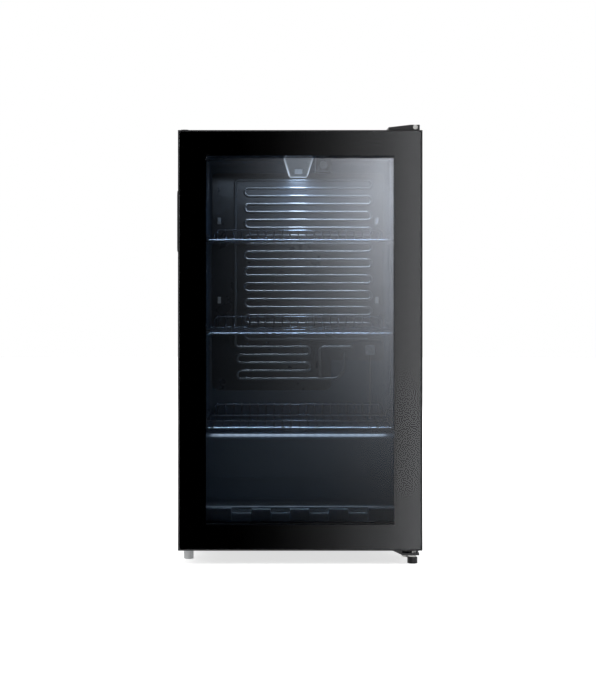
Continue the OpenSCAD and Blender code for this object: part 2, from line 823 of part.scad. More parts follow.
// Pin that carries the door above the plate and the foot below it
module lower_hinge_pin() color("silver") {
    rod_z(hinge_x, hinge_y, [3, door_bottom + bush_l - 2], pin_r);
    rod_z(hinge_x, hinge_y, [low_z[1], door_bottom - 0.4], 6.5);
    hex_head(hinge_x, hinge_y, [low_z[0] - 3.4, low_z[0]], 7.5);
}

module lower_hinge_bolts() color("silver") {
    rod_z(lock_bolt[0], lock_bolt[1], [low_z[0] - 1, low_z[1] + 3], 3);
    hex_head(lock_bolt[0], lock_bolt[1], [low_z[0] - 7, low_z[0]], 8);
    for (p = low_screws) {
        rod_z(p[0], p[1], [low_z[0] - 1, cab_bottom + 14], 3);
        hex_head(p[0], p[1], [low_z[0] - 5, low_z[0]], 6);
    }
}

// ---- Feet ----

// Round foot with a softened lower edge
module foot_pad(r, h)
    rotate_extrude() intersection() {
        round_rect([-r, r], [0, h + 4], 3);
        square([r, h]);
    }

module front_left_foot() color("#b8bbbe")
    translate([left_foot[0], left_foot[1], 0]) {
        foot_pad(foot_r - 0.2, 16);
        rod_z(0, 0, [15, cab_bottom + 13], pin_r);
    }

module foot_nut() color("silver")
    difference() {
        rod_z(left_foot[0], left_foot[1], [cab_bottom + steel_t, cab_bottom + 15], bush_r);
        rod_z(left_foot[0], left_foot[1], [cab_bottom, cab_bottom + 14], bore_r);
    }

module front_right_foot() color("#151618")
    translate([hinge_x, hinge_y, 0]) difference() {
        foot_pad(foot_r, 12);
        rod_z(0, 0, [2.6, 13], bore_r);
    }

module rear_feet() color("#151618")
    for (side = [-1, 1]) translate([side * rear_foot[0], rear_foot[1], 0]) foot_pad(13, cab_bottom);

// ---- Door ----

module front_glass() color("#0b0d10", 0.5)
    slab([-door_x + rim, door_x - rim], [front_y, print_y], [door_bottom + rim, door_top - rim]);

// Printed black border on the back of the front pane
module glass_border() color("black")
    difference() {
        slab([-door_x + rim, door_x - rim], [print_y, frame_y], [door_bottom + rim, door_top - rim]);
        slab([-win_x, win_x], [print_y - 1, frame_y + 1], win_z);
    }

module glass_spacer() color("#3d4247")
    frame_ring(unit_x, unit_z, 10, [frame_y, inner_y]);

module inner_glass() color("#20262c", 0.4)
    slab([-unit_x, unit_x], [inner_y, unit_back], unit_z);

// Moulded upright: a hollow box beside the glass unit, a lip behind it and a rim round the front pane
module stile() {
    difference() {
        slab([unit_x, door_x], [frame_y, door_back], unit_z);
        slab([unit_x + 4, door_x - 4], [frame_y + 4, door_back - 8], [unit_z[0] - 1, unit_z[1] + 1]);
        seal_groove();
    }
    slab([door_x - rim, door_x], [front_y, frame_y], unit_z);
    slab([unit_x - lip_in, unit_x], [unit_back, door_back], [unit_z[0] + lip_in, unit_z[1] - lip_in]);
}

// Groove that holds the seal
module seal_groove()
    frame_ring(seal_in + seal_w / 2 + dart_w / 2 + 0.1, [unit_z[0] - 11.6, unit_z[1] + 11.6],
               dart_w + 0.2, [door_back - dart_d - 0.2, door_back + 1]);

module door_stile_right() color("#101113") stile();

module door_stile_left() color("#101113")
    difference() {
        mirror([1, 0, 0]) stile();
        slab([-door_x - 1, -door_x + cup_d], span(cup_y, cup_w), span(handle_z, cup_h));
    }

// Moulded rail across the end of the door, from the outer edge to the glass unit
module door_cap(outer, inner, sign) {
    z = [min(outer, inner), max(outer, inner)];
    bush_end = outer + sign * bush_l;
    lip_z = [min(inner, inner + sign * lip_in), max(inner, inner + sign * lip_in)];
    rim_z = [min(outer, outer + sign * rim), max(outer, outer + sign * rim)];
    difference() {
        union() {
            slab([-door_x, door_x], [frame_y, door_back], z);
            slab([-unit_x, unit_x], [unit_back, door_back], lip_z);
            slab([-door_x, door_x], [front_y, frame_y], rim_z);
            for (side = [-1, 1])
                slab(span(side * (door_x - rim / 2), rim), [front_y, frame_y], z);
        }
        rod_z(hinge_x, hinge_y, [min(outer - sign, bush_end), max(outer - sign, bush_end)], bush_r);
        seal_groove();
    }
}

module door_cap_top() color("#101113")
    difference() {
        door_cap(door_top, unit_z[1], -1);
        rod_z(-hinge_x - 6, hinge_y, [door_top - 14, door_top + 1], pin_r);
    }

module door_cap_bottom() color("#101113")
    door_cap(door_bottom, unit_z[0], 1);

// Plug in the spare hinge hole on the other side
module door_hole_plug() color("#26282b") {
    rod_z(-hinge_x - 6, hinge_y, [door_top - 12, door_top], pin_r);
    rod_z(-hinge_x - 6, hinge_y, [door_top, door_top + 1.8], 7.5);
}

// Magnetic seal: a soft ring with a fold on its inner side and a dart in the groove
module door_gasket() color("#1a1b1d") {
    outer_x = seal_in + seal_w;
    outer_z = [unit_z[0] - 19, unit_z[1] + 19];
    difference() {
        frame_ring(outer_x, outer_z, seal_w, [door_back, door_back + seal_t]);
        frame_ring(seal_in + 4, [unit_z[0] - 7, unit_z[1] + 7], 5, span(door_back + seal_t / 2, 2));
    }
    frame_ring(seal_in + seal_w / 2 + dart_w / 2, [unit_z[0] - 11.5, unit_z[1] + 11.5], dart_w,
               [door_back - dart_d, door_back + eps]);
}

// Finger pull let into the left edge of the door
module handle_insert() color("#17181a")
    difference() {
        union() {
            along_x([-door_x - flange_t, -door_x])
                round_rect(span(cup_y, handle_w), span(handle_z, handle_h), 8);
            slab([-door_x - eps, -door_x + cup_d], span(cup_y, cup_w), span(handle_z, cup_h));
        }
        along_x([-door_x - flange_t - 1, -door_x + cup_d - 2])
            round_rect(span(cup_y, cup_w - 4), span(handle_z, cup_h - 4), 7);
    }

module hinge_bushes() color("#e4e4de")
    for (z = [[door_bottom, door_bottom + bush_l], [door_top - bush_l, door_top]])
        difference() {
            rod_z(hinge_x, hinge_y, z, bush_r);
            rod_z(hinge_x, hinge_y, [z[0] - 1, z[1] + 1], bore_r);
        }

outer_shell();
back_panel();
base_pan();
bay_shroud();
insulation_foam();
liner();
sill_trim();
evaporator_plate();
evaporator_coil();
evaporator_clips();
suction_pipe();
sensor_clamp();
capillary_tube();
lamp_housing();
lamp_lens();
led_board();
thermostat_body();
thermostat_knob();
lamp_switch();
shelf_lower();
shelf_middle();
shelf_upper();
compressor();
compressor_grommets();
compressor_bolts();
relay_cover();
compressor_plate();
drip_tray();
drain_tube();
discharge_pipe();
return_pipe();
filter_drier();
condenser_tube();
condenser_wires();
condenser_brackets();
cord_gland();
upper_hinge_bracket();
upper_hinge_screws();
hinge_cover();
hinge_cover_screw();
lower_hinge_bracket();
lower_hinge_pin();
lower_hinge_bolts();
front_left_foot();
foot_nut();
front_right_foot();
rear_feet();
back_panel_screws();
front_glass();
glass_border();
glass_spacer();
inner_glass();
door_stile_left();
door_stile_right();
door_cap_top();
door_cap_bottom();
door_gasket();
handle_insert();
hinge_bushes();
door_hole_plug();
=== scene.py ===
"""Beverage fridge with a glass door: its finishes, its detailed pieces, and a plain pale studio."""

import logging
import math
from dataclasses import dataclass, field
from enum import Enum
from typing import Callable, Sequence

import bmesh
import bpy
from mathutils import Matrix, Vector


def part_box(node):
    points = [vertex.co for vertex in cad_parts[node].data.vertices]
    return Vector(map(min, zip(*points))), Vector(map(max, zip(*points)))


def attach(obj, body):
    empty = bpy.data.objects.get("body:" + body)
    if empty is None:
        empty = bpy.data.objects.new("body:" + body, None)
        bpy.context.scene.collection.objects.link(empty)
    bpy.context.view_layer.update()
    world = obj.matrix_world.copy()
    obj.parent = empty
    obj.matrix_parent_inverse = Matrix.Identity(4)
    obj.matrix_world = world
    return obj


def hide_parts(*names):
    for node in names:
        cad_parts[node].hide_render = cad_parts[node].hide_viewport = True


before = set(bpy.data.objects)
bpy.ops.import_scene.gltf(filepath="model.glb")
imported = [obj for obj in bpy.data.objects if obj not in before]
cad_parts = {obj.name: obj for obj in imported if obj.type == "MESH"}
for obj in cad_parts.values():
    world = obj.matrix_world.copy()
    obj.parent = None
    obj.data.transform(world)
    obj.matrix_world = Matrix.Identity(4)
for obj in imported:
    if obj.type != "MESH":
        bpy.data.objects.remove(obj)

LOG = logging.getLogger("fridge")
Colour = tuple[float, float, float]
Point = tuple[float, float, float]
Span = tuple[float, float]
MM = 0.001


class Along(Enum):
    """The axis that a brushed or drawn finish runs along, as stretches of its grain."""

    X = (0.04, 1.0, 1.0)
    Y = (1.0, 0.04, 1.0)
    Z = (1.0, 1.0, 0.04)
    NONE = (1.0, 1.0, 1.0)


# ---- Shader maths ----


class Value:
    """A number or vector that changes over a surface, held as a socket of a node tree."""

    def __init__(self, shade: "Shading", socket: bpy.types.NodeSocket) -> None:
        """Wraps one output socket of a shading's node tree."""
        self.shade = shade
        self.socket = socket

    def _maths(self, operation: str, first: "Value | float", second: "Value | float") -> "Value":
        """Adds a Math node.

        Args:
            operation: The Math node's operation.
            first: Its first value or link.
            second: Its second value or link.

        Returns:
            The node's result.
        """
        return self.shade.node("ShaderNodeMath", {"operation": operation}, {0: first, 1: second})

    def __add__(self, other: "Value | float") -> "Value":
        """This value plus another."""
        return self._maths("ADD", self, other)

    def __sub__(self, other: "Value | float") -> "Value":
        """This value minus another."""
        return self._maths("SUBTRACT", self, other)

    def __rsub__(self, other: float) -> "Value":
        """A number minus this value."""
        return self._maths("SUBTRACT", other, self)

    def __mul__(self, other: "Value | float") -> "Value":
        """This value times another."""
        return self._maths("MULTIPLY", self, other)

    def __truediv__(self, other: "Value | float") -> "Value":
        """This value over another."""
        return self._maths("DIVIDE", self, other)

    def __pow__(self, other: float) -> "Value":
        """This value to a power."""
        return self._maths("POWER", self, other)

    def __gt__(self, other: "Value | float") -> "Value":
        """One where this value is the larger, and zero elsewhere."""
        return self._maths("GREATER_THAN", self, other)

    __radd__ = __add__
    __rmul__ = __mul__

    def clamp(self) -> "Value":
        """This value held between zero and one."""
        return self.shade.node("ShaderNodeClamp", {}, {"Value": self})

    def sine(self) -> "Value":
        """The sine of this value."""
        return self._maths("SINE", self, 0.0)

    def size(self) -> "Value":
        """This value without its sign."""
        return self._maths("ABSOLUTE", self, 0.0)

    def at_least(self, low: float) -> "Value":
        """This value, or a number where that is larger."""
        return self._maths("MAXIMUM", self, low)

    def between(self, low: float, high: float) -> "Value":
        """This value, from zero to one, as a number between two others."""
        return self * (high - low) + low


class Shading:
    """One node tree, which finishes and the studio's sky add nodes to."""

    def __init__(self, owner: bpy.types.Material | bpy.types.World) -> None:
        """Empties the owner's node tree and keeps it."""
        owner.use_nodes = True
        self.tree = owner.node_tree
        self.tree.nodes.clear()

    def node(self, kind: str, settings: dict, inputs: dict, output: int | str = 0) -> Value:
        """Adds any node.

        Args:
            kind: The node's type.
            settings: Its properties, set before its inputs. "stops" holds a ramp's places and colours.
            inputs: The values or links of its sockets, by name or number.
            output: The name or number of the socket to return.

        Returns:
            One output of the node.
        """
        made = self.tree.nodes.new(kind)
        for key, value in settings.items():
            if key == "stops":
                self._stops(made.color_ramp, value)
            else:
                setattr(made, key, value)
        for key, value in inputs.items():
            if isinstance(value, Value):
                self.tree.links.new(value.socket, made.inputs[key])
            else:
                made.inputs[key].default_value = value
        return Value(self, made.outputs[output]) if made.outputs else Value(self, None)

    @staticmethod
    def _stops(ramp: bpy.types.ColorRamp, stops: Sequence[tuple[float, float]]) -> None:
        """Gives a ramp its stops, each a place and a grey level."""
        while len(ramp.elements) < len(stops):
            ramp.elements.new(1.0)
        for element, (place, level) in zip(ramp.elements, stops):
            element.position = place
            element.color = (level, level, level, 1.0)

    def place(self, stretch: Point = (1.0, 1.0, 1.0)) -> Value:
        """Object coordinates in metres, stretched along each axis."""
        coords = self.node("ShaderNodeTexCoord", {}, {}, "Object")
        return self.node("ShaderNodeMapping", {}, {"Vector": coords, "Scale": stretch})

    def noise(self, scale: float, detail: float = 3.0, stretch: Point = (1.0, 1.0, 1.0)) -> Value:
        """Smooth noise.

        Args:
            scale: Lumps per metre.
            detail: Octaves of finer noise on top.
            stretch: How the pattern is stretched along each axis.

        Returns:
            The noise, from zero to one around a half.
        """
        inputs = {"Vector": self.place(stretch), "Scale": scale, "Detail": detail}
        return self.node("ShaderNodeTexNoise", {}, inputs, "Fac")

    def cells(self, scale: float, output: str = "Distance") -> Value:
        """Cell pattern with a number of cells per metre."""
        return self.node("ShaderNodeTexVoronoi", {}, {"Vector": self.place(), "Scale": scale}, output)

    def axis(self, vector: Value, name: str) -> Value:
        """One component of a vector, named X, Y or Z."""
        return self.node("ShaderNodeSeparateXYZ", {}, {"Vector": vector}, name)

    def blend(self, factor: Value | float, first: Colour | Value, second: Colour | Value) -> Value:
        """Mixes two colours.

        Args:
            factor: Zero for the first colour and one for the second.
            first: The first colour.
            second: The second colour.

        Returns:
            The mixed colour.
        """
        inputs = {0: factor, 6: _rgba(first), 7: _rgba(second)}
        return self.node("ShaderNodeMix", {"data_type": "RGBA"}, inputs, 2)

    def bump(self, height: Value, depth: float) -> Value:
        """Normal of a surface with a height map of that depth in metres."""
        return self.node("ShaderNodeBump", {}, {"Height": height, "Distance": depth, "Strength": 1.0})

    def surface(self, shader: Value) -> None:
        """Links a shader to the material's output."""
        self.node("ShaderNodeOutputMaterial", {}, {"Surface": shader})


def _rgba(colour: Colour | Value) -> "Value | tuple[float, float, float, float]":
    """A colour with its alpha, or a link as it is."""
    return colour if isinstance(colour, Value) else (*colour, 1.0)


# ---- Finishes ----


@dataclass(frozen=True)
class Finish:
    """A painted or moulded surface: its colour with soft blotches, its gloss with smears, and its grain."""

    name: str
    colour: Colour
    roughness: float = 0.4
    metallic: float = 0.0
    ior: float = 1.5
    coat: float = 0.0
    grain: float = 900.0
    depth: float = 0.00002
    blotch: float = 0.12
    blotch_scale: float = 14.0
    smear: float = 0.08
    smear_scale: float = 30.0
    along: Along = Along.NONE

    def material(self) -> bpy.types.Material:
        """Makes the material, or finds it if it was made before."""
        found = bpy.data.materials.get(self.name)
        if found:
            return found
        made = bpy.data.materials.new(self.name)
        shade = Shading(made)
        shade.surface(self.shader(shade))
        made.diffuse_color = (*self.colour, 1.0)
        return made

    def tone(self, shade: Shading) -> Value:
        """Base colour with blotches a few centimetres wide."""
        low = tuple(c * (1 - self.blotch) for c in self.colour)
        high = tuple(min(1.0, c * (1 + self.blotch)) for c in self.colour)
        return shade.blend(shade.noise(self.blotch_scale, 4.0), low, high)

    def gloss(self, shade: Shading) -> Value:
        """Roughness with faint smears."""
        smears = shade.noise(self.smear_scale, 5.0, self.along.value)
        return smears.between(self.roughness - self.smear, self.roughness + self.smear).clamp()

    def relief(self, shade: Shading) -> Value:
        """Height of the fine grain."""
        return shade.noise(self.grain, 2.0, self.along.value)

    def shader(self, shade: Shading) -> Value:
        """The whole surface as one shader."""
        inputs = {
            "Base Color": self.tone(shade),
            "Roughness": self.gloss(shade),
            "Metallic": self.metallic,
            "IOR": self.ior,
            "Coat Weight": self.coat,
            "Coat Roughness": 0.12,
            "Normal": shade.bump(self.relief(shade), self.depth),
        }
        return shade.node("ShaderNodeBsdfPrincipled", {}, inputs)


@dataclass(frozen=True)
class Powder(Finish):
    """Powder-coated steel: a fine orange peel under a thin coat."""

    grain: float = 420.0
    depth: float = 0.00006
    coat: float = 0.25

    def relief(self, shade: Shading) -> Value:
        """Round dimples of the orange peel with finer grit on them."""
        return shade.noise(self.grain, 1.0) + shade.cells(self.grain * 1.7) * 0.35


@dataclass(frozen=True)
class Moulded(Finish):
    """Injection-moulded plastic with the etched texture of its tool and a little dust."""

    dust: float = 0.06

    def tone(self, shade: Shading) -> Value:
        """Base colour with specks of pale dust."""
        specks = (shade.noise(700.0, 5.0) > 0.62) * shade.noise(25.0)
        pale = tuple(c * (1 - self.dust) + 0.35 * self.dust for c in self.colour)
        return shade.blend(specks, Finish.tone(self, shade), pale)

    def relief(self, shade: Shading) -> Value:
        """Pebbled texture of an etched mould."""
        return shade.cells(self.grain) * 0.6 + shade.noise(self.grain * 1.6, 2.0)


@dataclass(frozen=True)
class Metal(Finish):
    """Bare or plated metal, with drawn or rolled streaks and a tarnish in patches."""

    metallic: float = 1.0
    tarnish: Colour = (0.30, 0.30, 0.31)
    stained: float = 0.35

    def tone(self, shade: Shading) -> Value:
        """Bright metal that dulls in patches."""
        patches = ((shade.noise(60.0, 5.0) - 0.45) * 4.0).clamp() * self.stained
        return shade.blend(patches, self.colour, self.tarnish)

    def relief(self, shade: Shading) -> Value:
        """Fine streaks along the metal's direction."""
        return shade.noise(self.grain, 3.0, self.along.value)


@dataclass(frozen=True)
class Soft(Finish):
    """Rubber or soft vinyl with bloom on it."""

    bloom: Colour = (0.16, 0.16, 0.17)

    def tone(self, shade: Shading) -> Value:
        """Dark rubber with a chalky bloom in places."""
        chalk = ((shade.noise(45.0, 6.0) - 0.5) * 3.0).clamp() * 0.4
        return shade.blend(chalk, self.colour, self.bloom)


@dataclass(frozen=True)
class Foamed(Finish):
    """Sprayed polyurethane foam with open cells."""

    def relief(self, shade: Shading) -> Value:
        """Bubbles of two sizes."""
        return shade.cells(260.0) + shade.cells(700.0) * 0.5


@dataclass(frozen=True)
class Board(Finish):
    """Circuit board with pale solder mask over straight tracks."""

    def relief(self, shade: Shading) -> Value:
        """Tracks that stand proud of the board in rows."""
        across = shade.axis(shade.place(), "X")
        return (across * 2400.0).sine() > 0.4


@dataclass(frozen=True)
class Pane(Finish):
    """Clear flat glass. A leaning pane mirrors a higher part of the room than an upright one does."""

    lean: float = 0.0

    def leaning(self, shade: Shading) -> Value:
        """Normal of the surface, leaned upwards."""
        geometry = shade.node("ShaderNodeNewGeometry", {}, {}, "Normal")
        tilt = shade.axis(geometry, "Y") * -self.lean
        offset = shade.node("ShaderNodeCombineXYZ", {}, {"X": 0.0, "Y": 0.0, "Z": tilt})
        normal = shade.node("ShaderNodeVectorMath", {"operation": "ADD"}, {0: geometry, 1: offset})
        return shade.node("ShaderNodeVectorMath", {"operation": "NORMALIZE"}, {0: normal})

    def shader(self, shade: Shading) -> Value:
        """Glass that bends and mirrors, with faint wipe marks in its tint."""
        wiped = shade.noise(9.0, 6.0, (1.0, 1.0, 0.35))
        inputs = {
            "Base Color": shade.blend(wiped, self.colour, tuple(part * 0.985 for part in self.colour)),
            "Roughness": 0.0,
            "IOR": self.ior,
            "Transmission Weight": 1.0,
        }
        if self.lean:
            inputs["Normal"] = self.leaning(shade)
        return shade.node("ShaderNodeBsdfPrincipled", {}, inputs)


@dataclass(frozen=True)
class Lit(Finish):
    """Matt pale paint, lit evenly from far around."""

    power: float = 0.7

    def shader(self, shade: Shading) -> Value:
        """Paint with an even light of its own."""
        inputs = {
            "Base Color": self.tone(shade),
            "Roughness": self.gloss(shade),
            "Emission Color": (*self.colour, 1.0),
            "Emission Strength": self.power,
        }
        return shade.node("ShaderNodeBsdfPrincipled", {}, inputs)


@dataclass(frozen=True)
class Glowing(Finish):
    """Milky cover of a lamp that is lit from behind."""

    light: Colour = (0.78, 0.88, 1.0)
    power: float = 6.0

    def shader(self, shade: Shading) -> Value:
        """Prismatic milky plastic whose glow varies in soft patches."""
        middle = 1 - shade.noise(40.0, 1.0) * 0.4
        inputs = {
            "Base Color": (*self.colour, 1.0),
            "Roughness": self.gloss(shade),
            "Emission Color": shade.blend(middle, (0.4, 0.5, 0.6), self.light),
            "Emission Strength": self.power,
            "Normal": shade.bump(shade.cells(500.0), 0.0002),
        }
        return shade.node("ShaderNodeBsdfPrincipled", {}, inputs)


@dataclass(frozen=True)
class BacklitWithPaintedHighlight(Moulded):
    """Translucent tapered cover that glows faintly from its lamp within, with a painted highlight in its
    emission along its lower side edges.
    """

    half_width: float = 19 * MM
    foot: float = 762 * MM
    flare: float = 12 / 38
    glow: float = 0.10
    painted_highlight_level: float = 1.1

    def shader(self, shade: Shading) -> Value:
        """Milky plastic that glows faintly, with a painted highlight along its side edges that is strongest
        towards its lower end.
        """
        place = shade.place()
        across, up = shade.axis(place, "X"), shade.axis(place, "Z") - self.foot
        wide = up * self.flare + self.half_width
        # Painted highlight: emission that rises towards the cover's side edges and fades away above its
        # lower end.
        edge = ((across.size() / wide - 0.80) * 6.0).clamp() ** 2.0
        lower = (1 - up * 22.0).clamp()
        light = (edge * lower).between(self.glow, self.painted_highlight_level)
        inputs = {
            "Base Color": self.tone(shade),
            "Roughness": self.gloss(shade),
            "Coat Weight": self.coat,
            "Emission Color": shade.blend(light, (0.0, 0.0, 0.0), (0.80, 0.90, 1.0)),
            "Emission Strength": 1.0,
            "Normal": self.relief(shade),
        }
        return shade.node("ShaderNodeBsdfPrincipled", {}, inputs)


SHELL = Powder("shell_powder_coat", (0.016, 0.017, 0.019), 0.36)
SHEET = Powder("dark_sheet_steel", (0.045, 0.048, 0.052), 0.45, coat=0.1)
HINGE_PAINT = Powder("hinge_black_paint", (0.012, 0.012, 0.014), 0.32)
CAN_PAINT = Powder("compressor_black_paint", (0.010, 0.010, 0.011), 0.28, coat=0.5, grain=260.0)
CONDENSER_PAINT = Powder("condenser_black_paint", (0.012, 0.012, 0.014), 0.35, grain=1200.0)
LINER = Finish("liner_vacuum_formed", (0.028, 0.044, 0.068), 0.26, depth=0.0000015, grain=380.0,
               smear=0.03)
SILL = Finish("sill_moulding", (0.16, 0.23, 0.32), 0.22, grain=500.0)
PLATE = Finish("evaporator_plate_coating", (0.013, 0.017, 0.024), 0.30, grain=700.0)
COIL = Finish("evaporator_tube_coating", (0.060, 0.072, 0.088), 0.20, coat=0.6, grain=600.0)
PIPE = Finish("suction_pipe_coating", (0.070, 0.078, 0.088), 0.22, coat=0.5)
CLIP = Moulded("clip_plastic", (0.055, 0.064, 0.082), 0.24, depth=0.00001)
FEELER_CLAMP = Moulded("feeler_clamp_plastic", (0.16, 0.18, 0.21), 0.18, coat=0.6, depth=0.00001)
COPPER = Metal("drawn_copper", (0.72, 0.36, 0.20), 0.30, tarnish=(0.22, 0.11, 0.07), along=Along.Z)
# Lamp cover whose emission carries a painted highlight along its lower side edges.
LAMP_SHELL = BacklitWithPaintedHighlight("lamp_housing_plastic", (0.20, 0.26, 0.33), 0.16, coat=0.4, depth=0.00001)
LENS = Glowing("lamp_lens_diffuser", (0.8, 0.86, 0.92), 0.35, power=0.35)
BOARD = Board("circuit_board_mask", (0.72, 0.75, 0.74), 0.38, depth=0.00003)
DIAL = Moulded("dial_plastic", (0.10, 0.12, 0.15), 0.12, coat=0.8, depth=0.00001)
DIAL_BODY = Moulded("thermostat_plastic", (0.026, 0.034, 0.048), 0.40, depth=0.00001)
SLEEVE = Moulded("capillary_sleeve", (0.030, 0.034, 0.040), 0.30, depth=0.00001)
ROCKER = Moulded("rocker_plastic", (0.55, 0.60, 0.66), 0.18, coat=0.4, depth=0.00001)
WIRE = Metal("shelf_plated_wire", (0.34, 0.39, 0.46), 0.20, stained=0.15, grain=1500.0, depth=0.00001)
ZINC = Metal("zinc_plated_steel", (0.62, 0.62, 0.60), 0.30, grain=500.0)
RUBBER = Soft("black_rubber", (0.018, 0.018, 0.019), 0.62, grain=700.0)
SEAL = Soft("seal_vinyl", (0.022, 0.022, 0.024), 0.50, grain=900.0)
BAY_PLASTIC = Moulded("bay_plastic", (0.030, 0.030, 0.032), 0.45)
TRAY = Moulded("tray_plastic", (0.36, 0.39, 0.42), 0.38)
COVER = Moulded("hinge_cover_plastic", (0.014, 0.014, 0.016), 0.38, grain=1300.0)
GREY_FOOT = Moulded("grey_foot_plastic", (0.50, 0.51, 0.52), 0.40, dust=0.10)
BLACK_FOOT = Moulded("black_foot_plastic", (0.014, 0.014, 0.015), 0.42)
DOOR_PLASTIC = Moulded("door_frame_plastic", (0.008, 0.008, 0.009), 0.34, grain=1400.0, depth=0.00001)
HANDLE = Moulded("handle_plastic", (0.010, 0.010, 0.011), 0.36, grain=1200.0)
BUSH = Moulded("bush_plastic", (0.75, 0.75, 0.71), 0.35)
PRINT = Finish("ceramic_print", (0.0006, 0.0006, 0.0007), 0.03, depth=0.0, smear=0.01)
SPACER = Metal("spacer_aluminium", (0.30, 0.31, 0.33), 0.38, along=Along.Z)
FOAM = Foamed("insulation_foam", (0.70, 0.58, 0.26), 0.85, depth=0.0008)
FRONT_PANE = Pane("front_pane_glass", (0.94, 0.96, 1.0), ior=1.21)
INNER_PANE = Pane("inner_pane_glass", (0.93, 0.96, 1.0), ior=1.5, lean=0.125)
FLOOR = Lit("floor_paint", (0.93, 0.93, 0.93), 0.9, depth=0.0, blotch=0.004, smear=0.02)


# ---- Modelling ----


class Side(Enum):
    """The ways that a face can point."""

    LEFT = (-1.0, 0.0, 0.0)
    FRONT = (0.0, -1.0, 0.0)
    BACK = (0.0, 1.0, 0.0)
    DOWN = (0.0, 0.0, -1.0)
    UP = (0.0, 0.0, 1.0)


# How far two unit vectors point the same way, as their product, when they count as aligned or square.
ALIGNED = 0.9
SQUARE = 0.1


class Bench:
    """Modelling by hand with Blender's operators, one piece at a time."""

    @staticmethod
    def clear() -> None:
        """Leaves edit mode and deselects everything."""
        if bpy.context.object and bpy.context.object.mode != "OBJECT":
            bpy.ops.object.mode_set(mode="OBJECT")
        bpy.ops.object.select_all(action="DESELECT")

    @staticmethod
    def box(name: str, low: Sequence[float], high: Sequence[float]) -> bpy.types.Object:
        """Adds a block between two corners.

        Args:
            name: The piece's name.
            low: The lowest corner.
            high: The highest corner.

        Returns:
            The block, with its place in its mesh.
        """
        Bench.clear()
        low, high = Vector(low), Vector(high)
        bpy.ops.mesh.primitive_cube_add(size=1.0, location=(low + high) / 2, scale=high - low)
        return Bench._named(name)

    @staticmethod
    def disc(name: str, centre: Sequence[float], radius: float, depth: float, sides: int = 48,
             turn: Point = (0.0, 0.0, 0.0)) -> bpy.types.Object:
        """Adds a round bar.

        Args:
            name: The piece's name.
            centre: The middle of the bar.
            radius: Its radius.
            depth: Its length.
            sides: The number of its sides.
            turn: Its rotation from upright.

        Returns:
            The bar, with its place in its mesh.
        """
        Bench.clear()
        bpy.ops.mesh.primitive_cylinder_add(vertices=sides, radius=radius, depth=depth, location=centre,
                                            rotation=turn)
        return Bench._named(name)

    @staticmethod
    def _named(name: str) -> bpy.types.Object:
        """Names the newest object and moves its place into its mesh."""
        made = bpy.context.object
        made.name = made.data.name = name
        bpy.ops.object.transform_apply(location=True, rotation=True, scale=True)
        return made

    @staticmethod
    def pick(piece: bpy.types.Object, wanted: Callable[[bmesh.types.BMFace], bool]) -> int:
        """Enters edit mode with only some faces selected.

        Args:
            piece: The piece to edit.
            wanted: Says whether a face is wanted.

        Returns:
            How many faces are selected.
        """
        if bpy.context.object is not piece or piece.mode != "EDIT":
            Bench.clear()
            bpy.context.view_layer.objects.active = piece
            piece.select_set(True)
            bpy.ops.object.mode_set(mode="EDIT")
        bpy.ops.mesh.select_mode(type="FACE")
        bpy.ops.mesh.select_all(action="DESELECT")
        mesh = bmesh.from_edit_mesh(piece.data)
        mesh.faces.ensure_lookup_table()
        chosen = [face for face in mesh.faces if wanted(face)]
        for face in chosen:
            face.select_set(True)
        mesh.select_flush_mode()
        bmesh.update_edit_mesh(piece.data)
        return len(chosen)

    @staticmethod
    def pick_side(piece: bpy.types.Object, side: Side) -> None:
        """Picks the faces that point to one side."""
        Bench.pick(piece, lambda face: face.normal.dot(side.value) > ALIGNED)

    @staticmethod
    def pick_around(piece: bpy.types.Object, side: Side) -> None:
        """Picks the faces that lie along an axis, such as the wall of a round bar."""
        Bench.pick(piece, lambda face: abs(face.normal.dot(side.value)) < SQUARE)

    @staticmethod
    def cut_across(piece: bpy.types.Object, height: float) -> None:
        """Cuts all the faces of a piece across at a height."""
        Bench.pick(piece, lambda face: True)
        bpy.ops.mesh.bisect(plane_co=(0.0, 0.0, height), plane_no=Side.UP.value)

    @staticmethod
    def swell(width: float) -> None:
        """Extrudes the picked faces outwards along their normals."""
        bpy.ops.mesh.extrude_region_shrink_fatten(TRANSFORM_OT_shrink_fatten={"value": width})

    @staticmethod
    def pick_edges(piece: bpy.types.Object, run: Callable[[Vector], bool],
                   place: Callable[[Vector], bool] = lambda middle: True) -> None:
        """Enters edit mode with only some edges selected.

        Args:
            piece: The piece to edit.
            run: Says whether an edge's direction is wanted.
            place: Says whether an edge's middle is wanted.
        """
        Bench.pick(piece, lambda face: False)
        bpy.ops.mesh.select_mode(type="EDGE")
        mesh = bmesh.from_edit_mesh(piece.data)
        for edge in mesh.edges:
            first, second = (corner.co for corner in edge.verts)
            if run((second - first).normalized()) and place((first + second) / 2):
                edge.select_set(True)
        mesh.select_flush_mode()
        bmesh.update_edit_mesh(piece.data)

    @staticmethod
    def inset(width: float, depth: float = 0.0, each: bool = False) -> None:
        """Insets the selected faces by a width and raises them by a depth."""
        bpy.ops.mesh.inset(thickness=width, depth=depth, use_individual=each, use_boundary=True)

    @staticmethod
    def pull(offset: Sequence[float]) -> None:
        """Extrudes the selected faces by an offset."""
        bpy.ops.mesh.extrude_region_move(TRANSFORM_OT_translate={"value": tuple(offset)})

    @staticmethod
    def grow(factors: Sequence[float], centre: Sequence[float]) -> None:
        """Scales what is selected about a centre."""
        bpy.ops.transform.resize(value=tuple(factors), center_override=tuple(centre))

    @staticmethod
    def done(piece: bpy.types.Object) -> bpy.types.Object:
        """Leaves edit mode and makes the piece the active one."""
        Bench.clear()
        piece.select_set(True)
        bpy.context.view_layer.objects.active = piece
        return piece

